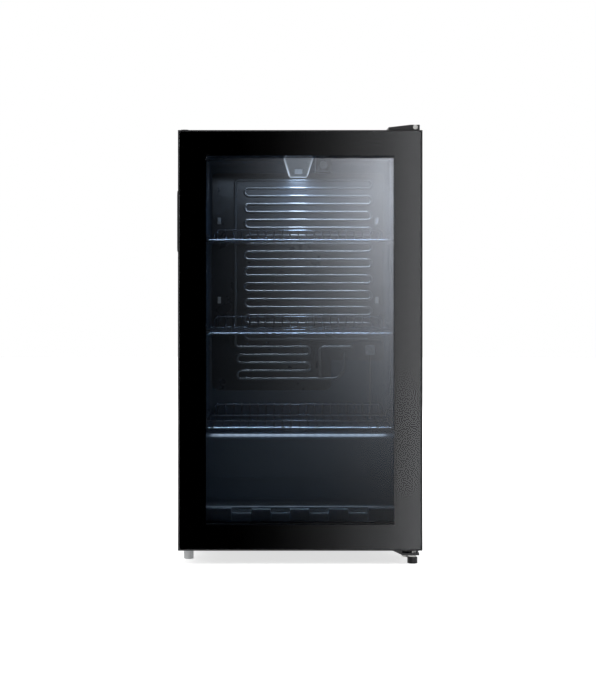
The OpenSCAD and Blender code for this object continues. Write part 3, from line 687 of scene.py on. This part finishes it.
    @staticmethod
    def modifier(piece: bpy.types.Object, name: str, kind: str, settings: dict) -> bpy.types.Modifier:
        """Adds a modifier.

        Args:
            piece: The piece that it changes.
            name: Its name.
            kind: Its type.
            settings: Its properties.

        Returns:
            The modifier.
        """
        added = piece.modifiers.new(name, kind)
        for key, value in settings.items():
            setattr(added, key, value)
        return added

    @staticmethod
    def apply(added: bpy.types.Modifier) -> None:
        """Applies a modifier of the active piece."""
        bpy.ops.object.modifier_apply(modifier=added.name)

    @staticmethod
    def round_run(piece: bpy.types.Object, run: Side, radius: float, segments: int) -> None:
        """Rounds the edges that run one way, such as a block's four upright edges.

        Args:
            piece: The piece to edit.
            run: The way that the edges run.
            radius: Radius of the rounding.
            segments: Steps across it.
        """
        Bench.pick_edges(piece, lambda way: abs(way.dot(run.value)) > ALIGNED)
        Bench.round_picked(radius, segments)

    @staticmethod
    def round_picked(radius: float, segments: int) -> None:
        """Rounds the picked edges to a radius, in a number of steps."""
        bpy.ops.mesh.bevel(offset=radius, segments=segments, affect="EDGES")

    @staticmethod
    def round_edges(piece: bpy.types.Object, width: float, segments: int = 3, angle: float = 40.0,
                    smooth: float = 35.0) -> bpy.types.Object:
        """Rounds a piece's sharp edges and smooths it.

        Args:
            piece: The piece to finish.
            width: Width of the rounding.
            segments: Steps across it.
            angle: Edges sharper than this, in degrees, are rounded.
            smooth: Edges sharper than this, in degrees, stay crisp.

        Returns:
            The piece.
        """
        Bench.done(piece)
        bevel = {"width": width, "segments": segments, "limit_method": "ANGLE",
                 "angle_limit": math.radians(angle), "use_clamp_overlap": True}
        Bench.apply(Bench.modifier(piece, "Rounded edges", "BEVEL", bevel))
        bpy.ops.object.shade_smooth_by_angle(angle=math.radians(smooth))
        Bench.apply(Bench.modifier(piece, "Flat faces", "WEIGHTED_NORMAL", {"keep_sharp": True}))
        return piece

    @staticmethod
    def cut_out(piece: bpy.types.Object, tool: bpy.types.Object) -> bpy.types.Object:
        """Cuts the shape of a tool out of a piece and removes the tool."""
        Bench.done(piece)
        cut = {"operation": "DIFFERENCE", "solver": "EXACT", "object": tool}
        Bench.apply(Bench.modifier(piece, "Cut-out", "BOOLEAN", cut))
        bpy.data.objects.remove(tool)
        return piece

    @staticmethod
    def join(pieces: Sequence[bpy.types.Object]) -> bpy.types.Object:
        """Joins several shapes into the first one."""
        Bench.clear()
        for piece in pieces:
            piece.select_set(True)
        bpy.context.view_layer.objects.active = pieces[0]
        bpy.ops.object.join()
        return pieces[0]


@dataclass
class Assembly:
    """A group of pieces on one or more bodies of the frame."""

    made: list[str] = field(default_factory=list)
    weld_gap: float = 0.01 * MM
    flat_angle: float = 0.1
    edge_angle: float = 50.0

    def fit(self, piece: bpy.types.Object, body: str, finish: Finish, slot: str,
            *stands_for: str) -> bpy.types.Object:
        """Finishes a new piece and sets it on its body.

        Args:
            piece: The piece, with its place in its mesh.
            body: The body that it moves with.
            finish: Its surface.
            slot: The record's material slot for it; not used.
            stands_for: The CAD nodes that it replaces.

        Returns:
            The piece.
        """
        piece.data.materials.clear()
        piece.data.materials.append(finish.material())
        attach(piece, body)
        if stands_for:
            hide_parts(*stands_for)
        self.made.append(piece.name)
        LOG.info("built %s on %s: %d faces", piece.name, body, len(piece.data.polygons))
        return piece

    def dress(self, node: str, finish: Finish, edge: float = 0.0) -> None:
        """Gives a CAD node its finish and softens its edges.

        Args:
            node: The node's name.
            finish: Its surface.
            edge: Width of the softened edges, or zero to leave them.
        """
        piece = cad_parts[node]
        piece.data.materials.clear()
        piece.data.materials.append(finish.material())
        if edge:
            whole = {"decimate_type": "DISSOLVE", "angle_limit": math.radians(self.flat_angle)}
            bevel = {"width": edge, "segments": 2, "limit_method": "ANGLE",
                     "angle_limit": math.radians(self.edge_angle), "harden_normals": True}
            Bench.modifier(piece, "Weld", "WELD", {"merge_threshold": self.weld_gap})
            Bench.modifier(piece, "Whole faces", "DECIMATE", whole)
            Bench.modifier(piece, "Softened edges", "BEVEL", bevel)
        self.made.append(node)
        LOG.info("dressed %s with %s", node, finish.name)


def corners(node: str) -> tuple[Vector, Vector]:
    """Lowest and highest corner of a CAD node at rest."""
    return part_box(node)


# ---- The door ----


@dataclass
class Door(Assembly):
    """Framed insulating glass, its seal, its handle and its hinge bushes."""

    glass_edge: float = 0.7 * MM
    print_overlap: float = 16 * MM
    print_in_glass: float = 0.06 * MM
    seal_width: float = 16 * MM
    seal_body: float = 6 * MM
    seal_lobe: float = 1.5 * MM
    lobe_slope: float = 1.6 * MM
    lobe_flat: float = 2.6 * MM
    lobe_inner: float = 1.2 * MM
    fold_margin: float = 2.2 * MM
    fold_width: float = 0.7 * MM
    fold_depth: float = 0.9 * MM
    cup_radius: float = 7 * MM
    flange: float = 4 * MM
    flange_thick: float = 2 * MM
    cup_floor: float = 2 * MM
    cup_margin: float = 6 * MM

    def build(self) -> None:
        """Builds and dresses the whole door."""
        self.pane("front_pane", "front_glass", FRONT_PANE)
        self.pane("inner_pane", "inner_glass", INNER_PANE)
        self.border()
        self.seal()
        self.handle()
        self.dress("glass_spacer", SPACER)
        for node in ("door_stile_left", "door_stile_right", "door_cap_top", "door_cap_bottom"):
            self.dress(node, DOOR_PLASTIC)
        self.dress("hinge_bushes", BUSH, 0.4 * MM)
        self.dress("door_hole_plug", COVER, 0.5 * MM)

    def pane(self, name: str, node: str, finish: Finish) -> None:
        """Float glass with ground edges.

        Args:
            name: The piece's name.
            node: The CAD node that it replaces.
            finish: Its glass.
        """
        piece = Bench.box(name, *corners(node))
        Bench.round_edges(piece, self.glass_edge, 2)
        self.fit(piece, "door", finish, "pane", node)

    def border(self) -> None:
        """Opaque print round the window, fired into the back of the front pane."""
        low, high = corners("glass_border")
        window_low, window_high = corners("inner_glass")
        low.y -= self.print_in_glass
        piece = Bench.box("window_border_print", low, high)
        margin = Vector((self.print_overlap, 0.01, self.print_overlap))
        window = Bench.box("window_tool", window_low + margin, window_high - margin)
        Bench.pick_side(window, Side.FRONT)
        Bench.pull((0.0, low.y - window_low.y - 0.02, 0.0))
        Bench.cut_out(piece, window)
        self.fit(piece, "door", PRINT, "print", "glass_border")

    def seal(self) -> None:
        """Magnetic seal with two soft lobes that meet the cabinet and a fold down its sides."""
        low, high = corners("door_gasket")
        back = high.y
        high.y = back - self.seal_lobe
        low.y = high.y - self.seal_body
        piece = Bench.box("magnetic_seal", low, high)
        width = Vector((self.seal_width, -0.02, self.seal_width))
        Bench.cut_out(piece, Bench.box("seal_tool", low + width, high - width))
        Bench.pick_side(piece, Side.BACK)
        Bench.inset(self.lobe_slope, self.seal_lobe)
        Bench.inset(self.lobe_flat)
        Bench.inset(self.lobe_inner, -self.seal_lobe)
        Bench.pick_around(piece, Side.FRONT)
        Bench.inset(self.fold_margin)
        Bench.inset(self.fold_width, -self.fold_depth)
        Bench.round_edges(piece, 0.6 * MM, 3, 30.0)
        self.fit(piece, "door", SEAL, "gasket", "door_gasket")

    def handle(self) -> None:
        """Finger pull: a rounded cup let into the door's edge behind a thin flange."""
        low, high = corners("handle_insert")
        rim = Vector((0.0, self.flange, self.flange))
        cup_low = low + rim
        cup_low.x += self.flange_thick
        piece = Bench.box("handle_cup", cup_low, high - rim)
        Bench.round_run(piece, Side.LEFT, self.cup_radius, 8)
        Bench.pick_side(piece, Side.LEFT)
        Bench.pull((-self.flange_thick, 0.0, 0.0))
        Bench.pick(piece, lambda face: abs(face.normal.x) < SQUARE
                   and face.calc_center_median().x < cup_low.x)
        Bench.swell(self.flange)
        Bench.pick_side(piece, Side.LEFT)
        Bench.inset(self.cup_margin)
        Bench.pull((high.x - low.x - self.cup_floor, 0.0, 0.0))
        Bench.round_edges(piece, 0.7 * MM, 3)
        self.fit(piece, "door", HANDLE, "handle_plastic", "handle_insert")


# ---- The inside ----

SHELVES = ("shelf_lower", "shelf_middle", "shelf_upper")


@dataclass
class Inside(Assembly):
    """Liner, evaporator, lamp, thermostat and shelves."""

    lamp_round: float = 5 * MM
    lamp_taper: float = 19 / 31
    lamp_rim: float = 1.6 * MM
    switch_gap: float = 0.6 * MM
    lamp_watts: float = 0.22
    lamp_tint: Colour = (0.72, 0.86, 1.0)
    # A dim light at the front that fills the space.
    base_watts: float = 0.42
    base_tint: Colour = (1.0, 0.97, 0.88)
    base_height: float = 350 * MM
    base_size: Span = (300 * MM, 500 * MM)
    # A strip below the ceiling: its dim fill, and its streak on the evaporator.
    strip_size: Span = (360 * MM, 50 * MM)
    strip_back: float = 200 * MM
    strip_height: float = 780 * MM
    strip_aim: Span = (80 * MM, 200 * MM)
    fill_watts: float = 0.06
    coil_watts: float = 2.0
    # Streaks on each shelf's front rail and on the sill, from lamps this far behind and above them.
    rail_gap: Span = (-10 * MM, 120 * MM)
    rail_width: float = 14 * MM
    rail_watts: float = 0.26
    rail_beam: float = 90.0
    sill_watts: float = 0.9
    sill_beam: float = 120.0
    # A streak on the step's rounded edge, which lies in front of the bay's sheet and above it.
    step_offset: Span = (-45 * MM, 38.8 * MM)
    step_gap: Span = (2 * MM, 50 * MM)
    step_aim: Span = (-2 * MM, -4 * MM)
    step_width: float = 70 * MM
    step_watts: float = 0.6
    wide_beam: float = 150.0
    knurls: int = 28
    knurl_web: float = 0.25 * MM
    knurl_depth: float = 0.35 * MM
    dial_radius: float = 8 * MM
    dial_rim: float = 1.4 * MM
    dial_dish: float = 0.6 * MM
    pointer: float = 2.4 * MM
    pointer_rise: float = 3 * MM

    def build(self) -> None:
        """Builds and dresses everything inside the cabinet."""
        self.dress("liner", LINER)
        self.dress("sill_trim", SILL, 1.2 * MM)
        self.dress("evaporator_plate", PLATE, 0.4 * MM)
        self.dress("evaporator_coil", COIL)
        self.dress("evaporator_clips", CLIP, 0.5 * MM)
        self.dress("suction_pipe", PIPE)
        self.dress("sensor_clamp", FEELER_CLAMP, 0.8 * MM)
        self.dress("capillary_tube", SLEEVE)
        self.lamp()
        self.dial()
        self.dress("led_board", BOARD)
        self.dress("lamp_lens", LENS)
        self.dress("thermostat_body", DIAL_BODY, 1.5 * MM)
        self.dress("lamp_switch", ROCKER)
        for node in SHELVES:
            self.dress(node, WIRE)

    def lamp(self) -> None:
        """Housing below the ceiling, narrower at the bottom, open for its lens and its switch."""
        low, high = corners("lamp_housing")
        piece = Bench.box("lamp_cover", low, high)
        Bench.pick_side(piece, Side.DOWN)
        Bench.grow((self.lamp_taper, 1.0, 1.0), (0.0, 0.0, low.z))
        Bench.pick_edges(piece, lambda run: abs(run.y) > ALIGNED, lambda place: place.z < low.z + MM)
        Bench.round_picked(self.lamp_round, 6)
        Bench.pick_side(piece, Side.FRONT)
        Bench.inset(self.lamp_rim)
        Bench.inset(1.0 * MM, -self.lamp_rim / 2)
        lens_low, lens_high = corners("lamp_lens")
        deep = Vector((0.0, 0.0, 2 * MM))
        Bench.cut_out(piece, Bench.box("lens_tool", lens_low - deep, lens_high))
        switch_low, switch_high = corners("lamp_switch")
        gap = Vector((self.switch_gap, self.switch_gap, 1.5 * MM))
        Bench.cut_out(piece, Bench.box("switch_tool", switch_low - gap, switch_high + gap))
        Bench.round_edges(piece, 0.5 * MM, 3, 50.0)
        self.fit(piece, "cabinet", LAMP_SHELL, "lamp_plastic", "lamp_housing")

    def dial(self) -> None:
        """Thermostat dial with a knurled rim and a raised pointer, on its stem."""
        low, high = corners("thermostat_knob")
        centre = (low + high) / 2
        front, back = low.y + self.pointer_rise, corners("thermostat_body")[0].y - 0.6 * MM
        flat = (math.pi / 2, 0.0, 0.0)
        piece = Bench.disc("thermostat_dial", (centre.x, (front + back) / 2, centre.z),
                           self.dial_radius, back - front, self.knurls, flat)
        Bench.pick_around(piece, Side.FRONT)
        Bench.inset(self.knurl_web, -self.knurl_depth, each=True)
        Bench.pick_side(piece, Side.FRONT)
        Bench.inset(self.dial_rim)
        Bench.inset(self.dial_dish, -self.dial_dish)
        half = self.pointer / 2
        pointer = Bench.box("dial_pointer", (centre.x - half, low.y, low.z + half),
                            (centre.x + half, front + MM, high.z - half))
        stem = Bench.disc("dial_stem", (centre.x, (back + high.y) / 2, centre.z), 3 * MM,
                          high.y - back, 24, flat)
        piece = Bench.join([piece, pointer, stem])
        Bench.round_edges(piece, 0.2 * MM, 2)
        self.fit(piece, "thermostat_dial", DIAL, "dial_plastic", "thermostat_knob")

    def lights(self) -> None:
        """Adds the lamp's light, the streaks of gloss, and two dim lights that fill the space."""
        low, high = corners("lamp_lens")
        centre = (low + high) / 2
        lamp = Studio.panel("lamp_light", (centre.x, centre.y, low.z - MM), (centre.x, centre.y, 0.0),
                            (high.x - low.x, high.y - low.y), self.lamp_watts, self.lamp_tint)
        front = corners("sill_trim")[0].y
        strip = (0.0, front + self.strip_back, self.strip_height)
        aim = (0.0, *self.strip_aim)
        self.streak("coil_streak", strip, aim, self.strip_size[1], self.coil_watts, self.wide_beam,
                    "evaporator_coil", "evaporator_plate", "evaporator_clips", "suction_pipe",
                    "sensor_clamp")
        for node in SHELVES:
            rail = corners(node)[0]
            self.edge_streak(f"{node}_streak", node, rail.y, rail.z, self.rail_watts, self.rail_beam)
        self.edge_streak("sill_streak", "sill_trim", front, corners("sill_trim")[1].z, self.sill_watts,
                         self.sill_beam)
        bay_low, bay_high = corners("bay_shroud")
        edge = Vector((0.0, bay_low.y, bay_high.z)) + Vector((0.0, *self.step_offset))
        self.streak("step_streak", edge + Vector((0.0, *self.step_gap)),
                    edge + Vector((0.0, *self.step_aim)), self.step_width, self.step_watts,
                    self.wide_beam, "liner")
        fill = Studio.panel("ceiling_fill", strip, aim, self.strip_size, self.fill_watts, self.lamp_tint)
        base = Studio.panel("base_fill", (0.0, front + MM, self.base_height),
                            (0.0, 1.0, self.base_height), self.base_size, self.base_watts,
                            self.base_tint)
        for light in (fill, base):
            light.visible_glossy = False
        for light in (lamp, fill, base):
            light.visible_transmission = False
            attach(light, "cabinet")

    def edge_streak(self, name: str, node: str, back: float, height: float, watts: float,
                    beam: float) -> None:
        """Adds a streak on a node's front edge.

        Args:
            name: The lamp's name.
            node: The node.
            back: How far back the edge lies.
            height: How high it lies.
            watts: The lamp's power.
            beam: The angle of its beam in degrees.
        """
        forward, above = self.rail_gap
        self.streak(name, (0.0, back + forward, height + above), (0.0, back, height), self.rail_width,
                    watts, beam, node)

    def streak(self, name: str, place: Sequence[float], aim: Sequence[float], width: float,
               watts: float, beam: float, *takers: str) -> None:
        """Adds a long lamp that only puts a line of gloss on some nodes.

        Args:
            name: The lamp's name.
            place: Where it is.
            aim: Where it points.
            width: Its width.
            watts: Its power.
            beam: The angle of its beam in degrees.
            takers: The nodes that it lights.
        """
        light = Studio.panel(name, place, aim, (self.strip_size[0], width), watts, self.lamp_tint)
        light.data.spread = math.radians(beam)
        light.visible_diffuse = False
        light.visible_transmission = False
        group = bpy.data.collections.new(f"{name}_takers")
        for taker in takers:
            group.objects.link(bpy.data.objects[taker])
        light.light_linking.receiver_collection = group
        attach(light, "cabinet")


# ---- The cabinet ----


@dataclass
class Cabinet(Assembly):
    """Steel skins, hinges, screws and feet."""

    bead_margin: float = 34 * MM
    bead_width: float = 5 * MM
    bead_height: float = 1.4 * MM
    tread_margin: float = 0.22
    tread_slope: float = 0.10
    tread_depth: float = 1.2 * MM
    foot_ribs: int = 30
    rib_web: float = 0.35 * MM
    rib_depth: float = 0.45 * MM
    foot_radius: float = 9.8 * MM
    foot_height: float = 16 * MM
    stem_radius: float = 4 * MM
    stem_play: float = 0.1 * MM
    rear_waist: Point = (0.86, 0.86, 1.0)

    def build(self) -> None:
        """Builds and dresses the cabinet's outside."""
        self.dress("outer_shell", SHELL, 0.8 * MM)
        self.dress("base_pan", SHEET)
        self.dress("bay_shroud", SHEET)
        self.dress("insulation_foam", FOAM)
        self.back()
        self.levelling_foot()
        self.hinge_foot()
        self.rear_feet()
        for node in ("upper_hinge_bracket", "lower_hinge_bracket"):
            self.dress(node, HINGE_PAINT, 0.4 * MM)
        self.dress("hinge_cover", COVER, 0.9 * MM)
        for node in ("upper_hinge_screws", "hinge_cover_screw", "lower_hinge_pin",
                     "lower_hinge_bolts", "foot_nut", "back_panel_screws"):
            self.dress(node, ZINC, 0.3 * MM)

    def back(self) -> None:
        """Back sheet, stiffened by a raised field and two pressed beads across it."""
        low, high = corners("back_panel")
        piece = Bench.box("pressed_back_panel", low, high)
        for share in (1 / 3, 2 / 3):
            Bench.cut_across(piece, low.z + (high.z - low.z) * share)
        Bench.pick_side(piece, Side.BACK)
        Bench.inset(self.bead_margin, each=True)
        Bench.inset(self.bead_width, self.bead_height, each=True)
        Bench.inset(self.bead_width * 3, each=True)
        Bench.inset(self.bead_width, -self.bead_height / 2, each=True)
        Bench.round_edges(piece, 0.5 * MM, 2, 5.0)
        self.fit(piece, "cabinet", SHEET, "dark_sheet", "back_panel")

    def pad(self, name: str, centre: Vector, radius: float, height: float, sides: int) -> bpy.types.Object:
        """Round foot that stands on the floor.

        Args:
            name: The piece's name.
            centre: Any point on its axis.
            radius: Its radius.
            height: Its height.
            sides: The number of its sides.

        Returns:
            The foot, still with sharp edges.
        """
        piece = Bench.disc(name, (centre.x, centre.y, height / 2), radius, height, sides)
        Bench.pick_side(piece, Side.DOWN)
        Bench.inset(radius * self.tread_margin)
        Bench.inset(radius * self.tread_slope, -self.tread_depth)
        return piece

    def levelling_foot(self) -> None:
        """Grey foot with a ribbed grip on a threaded stem."""
        low, high = corners("front_left_foot")
        centre = (low + high) / 2
        piece = self.pad("ribbed_levelling_foot", centre, self.foot_radius, self.foot_height, self.foot_ribs)
        Bench.pick_around(piece, Side.UP)
        Bench.inset(self.rib_web, -self.rib_depth, each=True)
        top = self.foot_height - MM
        stem = Bench.disc("foot_stem", (centre.x, centre.y, (top + high.z) / 2), self.stem_radius,
                          high.z - top, 24)
        piece = Bench.join([piece, stem])
        Bench.round_edges(piece, 0.5 * MM, 3)
        self.fit(piece, "left_foot", GREY_FOOT, "grey_foot", "front_left_foot")

    def hinge_foot(self) -> None:
        """Black foot on the lower end of the hinge pin."""
        low, high = corners("front_right_foot")
        piece = self.pad("hinge_pin_foot", (low + high) / 2, (high.x - low.x) / 2, high.z, 48)
        pin_end = corners("lower_hinge_pin")[0].z
        bore = Bench.disc("bore_tool", ((low.x + high.x) / 2, (low.y + high.y) / 2, pin_end + 20 * MM),
                          self.stem_radius + self.stem_play, 41 * MM, 24)
        Bench.cut_out(piece, bore)
        Bench.round_edges(piece, 1.6 * MM, 4, 50.0)
        self.fit(piece, "right_foot", BLACK_FOOT, "black_foot", "front_right_foot")

    def rear_feet(self) -> None:
        """Fixed rear feet with a waist above the tread."""
        low, high = corners("rear_feet")
        radius = (high.y - low.y) / 2
        pads = []
        for centre_x in (low.x + radius, high.x - radius):
            piece = self.pad(f"rear_foot_{len(pads)}", Vector((centre_x, low.y + radius, 0.0)), radius,
                             high.z, 40)
            Bench.pick_side(piece, Side.UP)
            Bench.grow(self.rear_waist, (centre_x, low.y + radius, high.z))
            pads.append(piece)
        piece = Bench.join(pads)
        piece.name = piece.data.name = "rear_foot_pair"
        Bench.round_edges(piece, 2.0 * MM, 4, 50.0)
        self.fit(piece, "cabinet", BLACK_FOOT, "black_foot", "rear_feet")


# ---- The cooling circuit ----


@dataclass
class Cooling(Assembly):
    """Compressor, its bay and the condenser on the back."""

    shell_radius: float = 52.4 * MM
    shell_round: float = 25 * MM
    seam_height: float = 9 * MM
    seam_width: float = 1.5 * MM
    plate_thick: float = 4 * MM
    plate_radius: float = 14 * MM
    stud_hole: float = 6 * MM
    nut_half: Span = (6.5 * MM, 5.63 * MM)
    tray_radius: float = 9 * MM
    tray_wall: float = 1.8 * MM
    tray_taper: Point = (0.94, 0.93, 1.0)

    def build(self) -> None:
        """Builds and dresses the bay and the condenser."""
        self.compressor()
        self.tray()
        self.dress("compressor_grommets", RUBBER, 0.6 * MM)
        self.dress("compressor_bolts", ZINC, 0.4 * MM)
        self.dress("relay_cover", BAY_PLASTIC, 1.5 * MM)
        self.dress("compressor_plate", SHEET)
        self.dress("drain_tube", TRAY)
        for node in ("discharge_pipe", "return_pipe", "filter_drier"):
            self.dress(node, COPPER)
        for node in ("condenser_tube", "condenser_wires"):
            self.dress(node, CONDENSER_PAINT)
        self.dress("condenser_brackets", BAY_PLASTIC, 0.8 * MM)
        self.dress("cord_gland", RUBBER, 0.5 * MM)

    def compressor(self) -> None:
        """Pressed steel can with a welded seam round its middle, on a foot plate with a rolled edge."""
        low, high = corners("compressor")
        centre = (low + high) / 2
        base = low.z + self.plate_thick
        can = Bench.disc("compressor_can", (centre.x, centre.y, (base + high.z) / 2), self.shell_radius,
                         high.z - base, 72)
        Bench.pick(can, lambda face: abs(face.normal.z) > ALIGNED)
        Bench.round_picked(self.shell_round, 10)
        seam = (base + high.z) / 2
        for height in (seam, seam + self.seam_height):
            Bench.cut_across(can, height)
        Bench.pick(can, lambda face: seam < face.calc_center_median().z < seam + self.seam_height
                   and abs(face.normal.z) < SQUARE)
        Bench.swell(self.seam_width)
        plate = Bench.box("compressor_foot", low, (high.x, high.y, base))
        Bench.round_run(plate, Side.UP, self.plate_radius, 6)
        bolt_low, bolt_high = corners("compressor_bolts")
        reach = Vector((bolt_high.x - bolt_low.x, bolt_high.y - bolt_low.y)) / 2 - Vector(self.nut_half)
        for side_x in (-1, 1):
            for side_y in (-1, 1):
                place = (centre.x + side_x * reach.x, centre.y + side_y * reach.y, low.z)
                Bench.cut_out(plate, Bench.disc("stud_tool", place, self.stud_hole, 0.03, 24))
        piece = Bench.join([can, plate])
        Bench.round_edges(piece, 0.8 * MM, 3, 45.0)
        self.fit(piece, "cabinet", CAN_PAINT, "can_paint", "compressor")

    def tray(self) -> None:
        """Shallow tray on the compressor with sloping walls and a rolled rim."""
        low, high = corners("drip_tray")
        centre = (low + high) / 2
        piece = Bench.box("evaporation_tray", low, high)
        Bench.round_run(piece, Side.UP, self.tray_radius, 6)
        Bench.pick_side(piece, Side.DOWN)
        Bench.grow(self.tray_taper, (centre.x, centre.y, low.z))
        Bench.pick_side(piece, Side.UP)
        Bench.inset(self.tray_wall)
        Bench.pull((0.0, 0.0, low.z - high.z + self.tray_wall))
        Bench.grow(self.tray_taper, (centre.x, centre.y, high.z))
        Bench.round_edges(piece, 0.7 * MM, 3)
        self.fit(piece, "cabinet", TRAY, "tray_plastic", "drip_tray")


# ---- The studio ----


@dataclass
class Studio:
    """Plain pale studio: floor, sky, soft lamps and the camera."""

    eye: Point = (-0.0429, -3.716, 0.595)
    lens: float = 93.7
    shift: Span = (0.0288, -0.131)
    floor_radius: float = 7.0
    white: float = 1.0
    # The mirrored room, in slopes of the view: a pale wall below, a soft box above, then the ceiling.
    room_left: float = 0.05
    wall_stops: Sequence[Span] = ((0.058, 0.0), (0.095, 0.012), (0.124, 0.042), (0.160, 0.107),
                                  (0.218, 0.338), (0.255, 0.636), (0.34, 0.73), (0.60, 0.25), (1.0, 0.12))
    wall_top: float = 0.095
    wall_level: float = 3.0
    box_foot: float = 0.104
    box_level: float = 5.6
    ceiling_level: float = 1.3
    soft_front: float = 0.06
    soft_round: float = 0.8

    @staticmethod
    def panel(name: str, place: Sequence[float], target: Sequence[float], size: Span, watts: float,
              colour: Colour = (1.0, 1.0, 1.0)) -> bpy.types.Object:
        """Adds a soft rectangular lamp.

        Args:
            name: The lamp's name.
            place: Where it is.
            target: Where it points.
            size: Its width and height.
            watts: Its power.
            colour: Its colour.

        Returns:
            The lamp.
        """
        data = bpy.data.lights.new(name, "AREA")
        data.shape = "RECTANGLE"
        data.size, data.size_y = size
        data.energy = watts
        data.color = colour
        lamp = bpy.data.objects.new(name, data)
        bpy.context.scene.collection.objects.link(lamp)
        lamp.location = place
        lamp.rotation_euler = (Vector(target) - Vector(place)).to_track_quat("-Z", "Y").to_euler()
        return lamp

    @staticmethod
    def hide(piece: bpy.types.Object) -> None:
        """Keeps a lamp or the floor out of mirrors and of what glass lets through."""
        piece.visible_glossy = False
        piece.visible_transmission = False

    def build(self) -> None:
        """Sets up the whole studio."""
        self.camera()
        self.sky()
        self.floor()
        for name, place, size, watts in (
            ("soft_top", (0.0, -0.4, 3.2), (3.0, 3.0), 60.0),
            ("soft_left", (-2.6, -1.6, 1.6), (1.6, 2.4), 30.0),
            ("soft_right", (2.6, -1.2, 1.8), (1.6, 2.4), 30.0),
            ("soft_back", (0.6, 3.0, 1.8), (2.4, 2.0), 40.0),
        ):
            self.hide(self.panel(name, place, (0.0, 0.0, 0.4), size, watts))

    def camera(self) -> None:
        """Long lens at the height of the upper shelf, looking straight back."""
        data = bpy.data.cameras.new("camera")
        data.sensor_width = 36.0
        data.lens = self.lens
        data.shift_x, data.shift_y = self.shift
        data.clip_end = 60.0
        camera = bpy.data.objects.new("camera", data)
        bpy.context.scene.collection.objects.link(camera)
        camera.location = self.eye
        camera.rotation_euler = (math.pi / 2, 0.0, 0.0)
        bpy.context.scene.camera = camera
        bpy.context.scene.view_settings.view_transform = "Standard"

    def sky(self) -> None:
        """White all round the camera's view, and in mirrors a dark room with a wall and a soft box ahead."""
        world = bpy.data.worlds.new("studio_sky")
        bpy.context.scene.world = world
        shade = Shading(world)
        direction = shade.node("ShaderNodeTexCoord", {}, {}, "Generated")
        forward = shade.axis(direction, "Y") * -1
        depth = forward.at_least(0.001)
        across = shade.axis(direction, "X") / depth
        up = shade.axis(direction, "Z") / depth
        from_left = across + self.room_left
        wall = shade.node("ShaderNodeValToRGB", {"stops": self.wall_stops}, {"Fac": (from_left * 2).clamp()})
        box_across = ((from_left / 0.1095).clamp() ** 2.75) * ((0.45 - across) * 5).clamp()
        box_up = (((up - self.box_foot) / 0.185).clamp() ** 1.8) * ((0.5 - up) * 6).clamp()
        ceiling = ((up - 0.5) * 2).clamp() * self.ceiling_level
        below_box = ((self.wall_top - up) * 100).clamp()
        front = wall * below_box * self.wall_level + box_across * box_up * self.box_level + ceiling
        ahead = forward > 0.0
        mirrored = front * ahead + (1 - ahead) * 0.9
        soft = ahead * self.soft_front + (1 - ahead) * self.soft_round
        bounces = shade.node("ShaderNodeLightPath", {}, {}, "Diffuse Depth") * 20
        crossings = shade.node("ShaderNodeLightPath", {}, {}, "Transmission Depth")
        scattered = (bounces + crossings) > 6.5
        level = soft * scattered + mirrored * (1 - scattered)
        seen = shade.node("ShaderNodeLightPath", {}, {}, "Is Camera Ray")
        total = level * (1 - seen) + seen * self.white
        grey = shade.node("ShaderNodeCombineColor", {}, {0: total, 1: total, 2: total})
        background = shade.node("ShaderNodeBackground", {}, {"Color": grey, "Strength": 1.0})
        shade.node("ShaderNodeOutputWorld", {}, {"Surface": background})

    def floor(self) -> None:
        """Pale matt floor that mirrors don't show."""
        Bench.clear()
        bpy.ops.mesh.primitive_circle_add(vertices=96, radius=self.floor_radius, fill_type="NGON")
        floor = bpy.context.object
        floor.name = "pale_floor"
        floor.data.materials.append(FLOOR.material())
        self.hide(floor)


def main() -> None:
    """Builds each sub-assembly in order."""
    logging.basicConfig(level=logging.INFO, format="%(message)s")
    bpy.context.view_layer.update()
    Studio().build()
    inside = Inside()
    for assembly in (Door(), inside, Cabinet(), Cooling()):
        assembly.build()
        LOG.info("%s: %d pieces", type(assembly).__name__, len(assembly.made))
    inside.lights()
    Bench.clear()


if __name__ == "__main__":
    main()
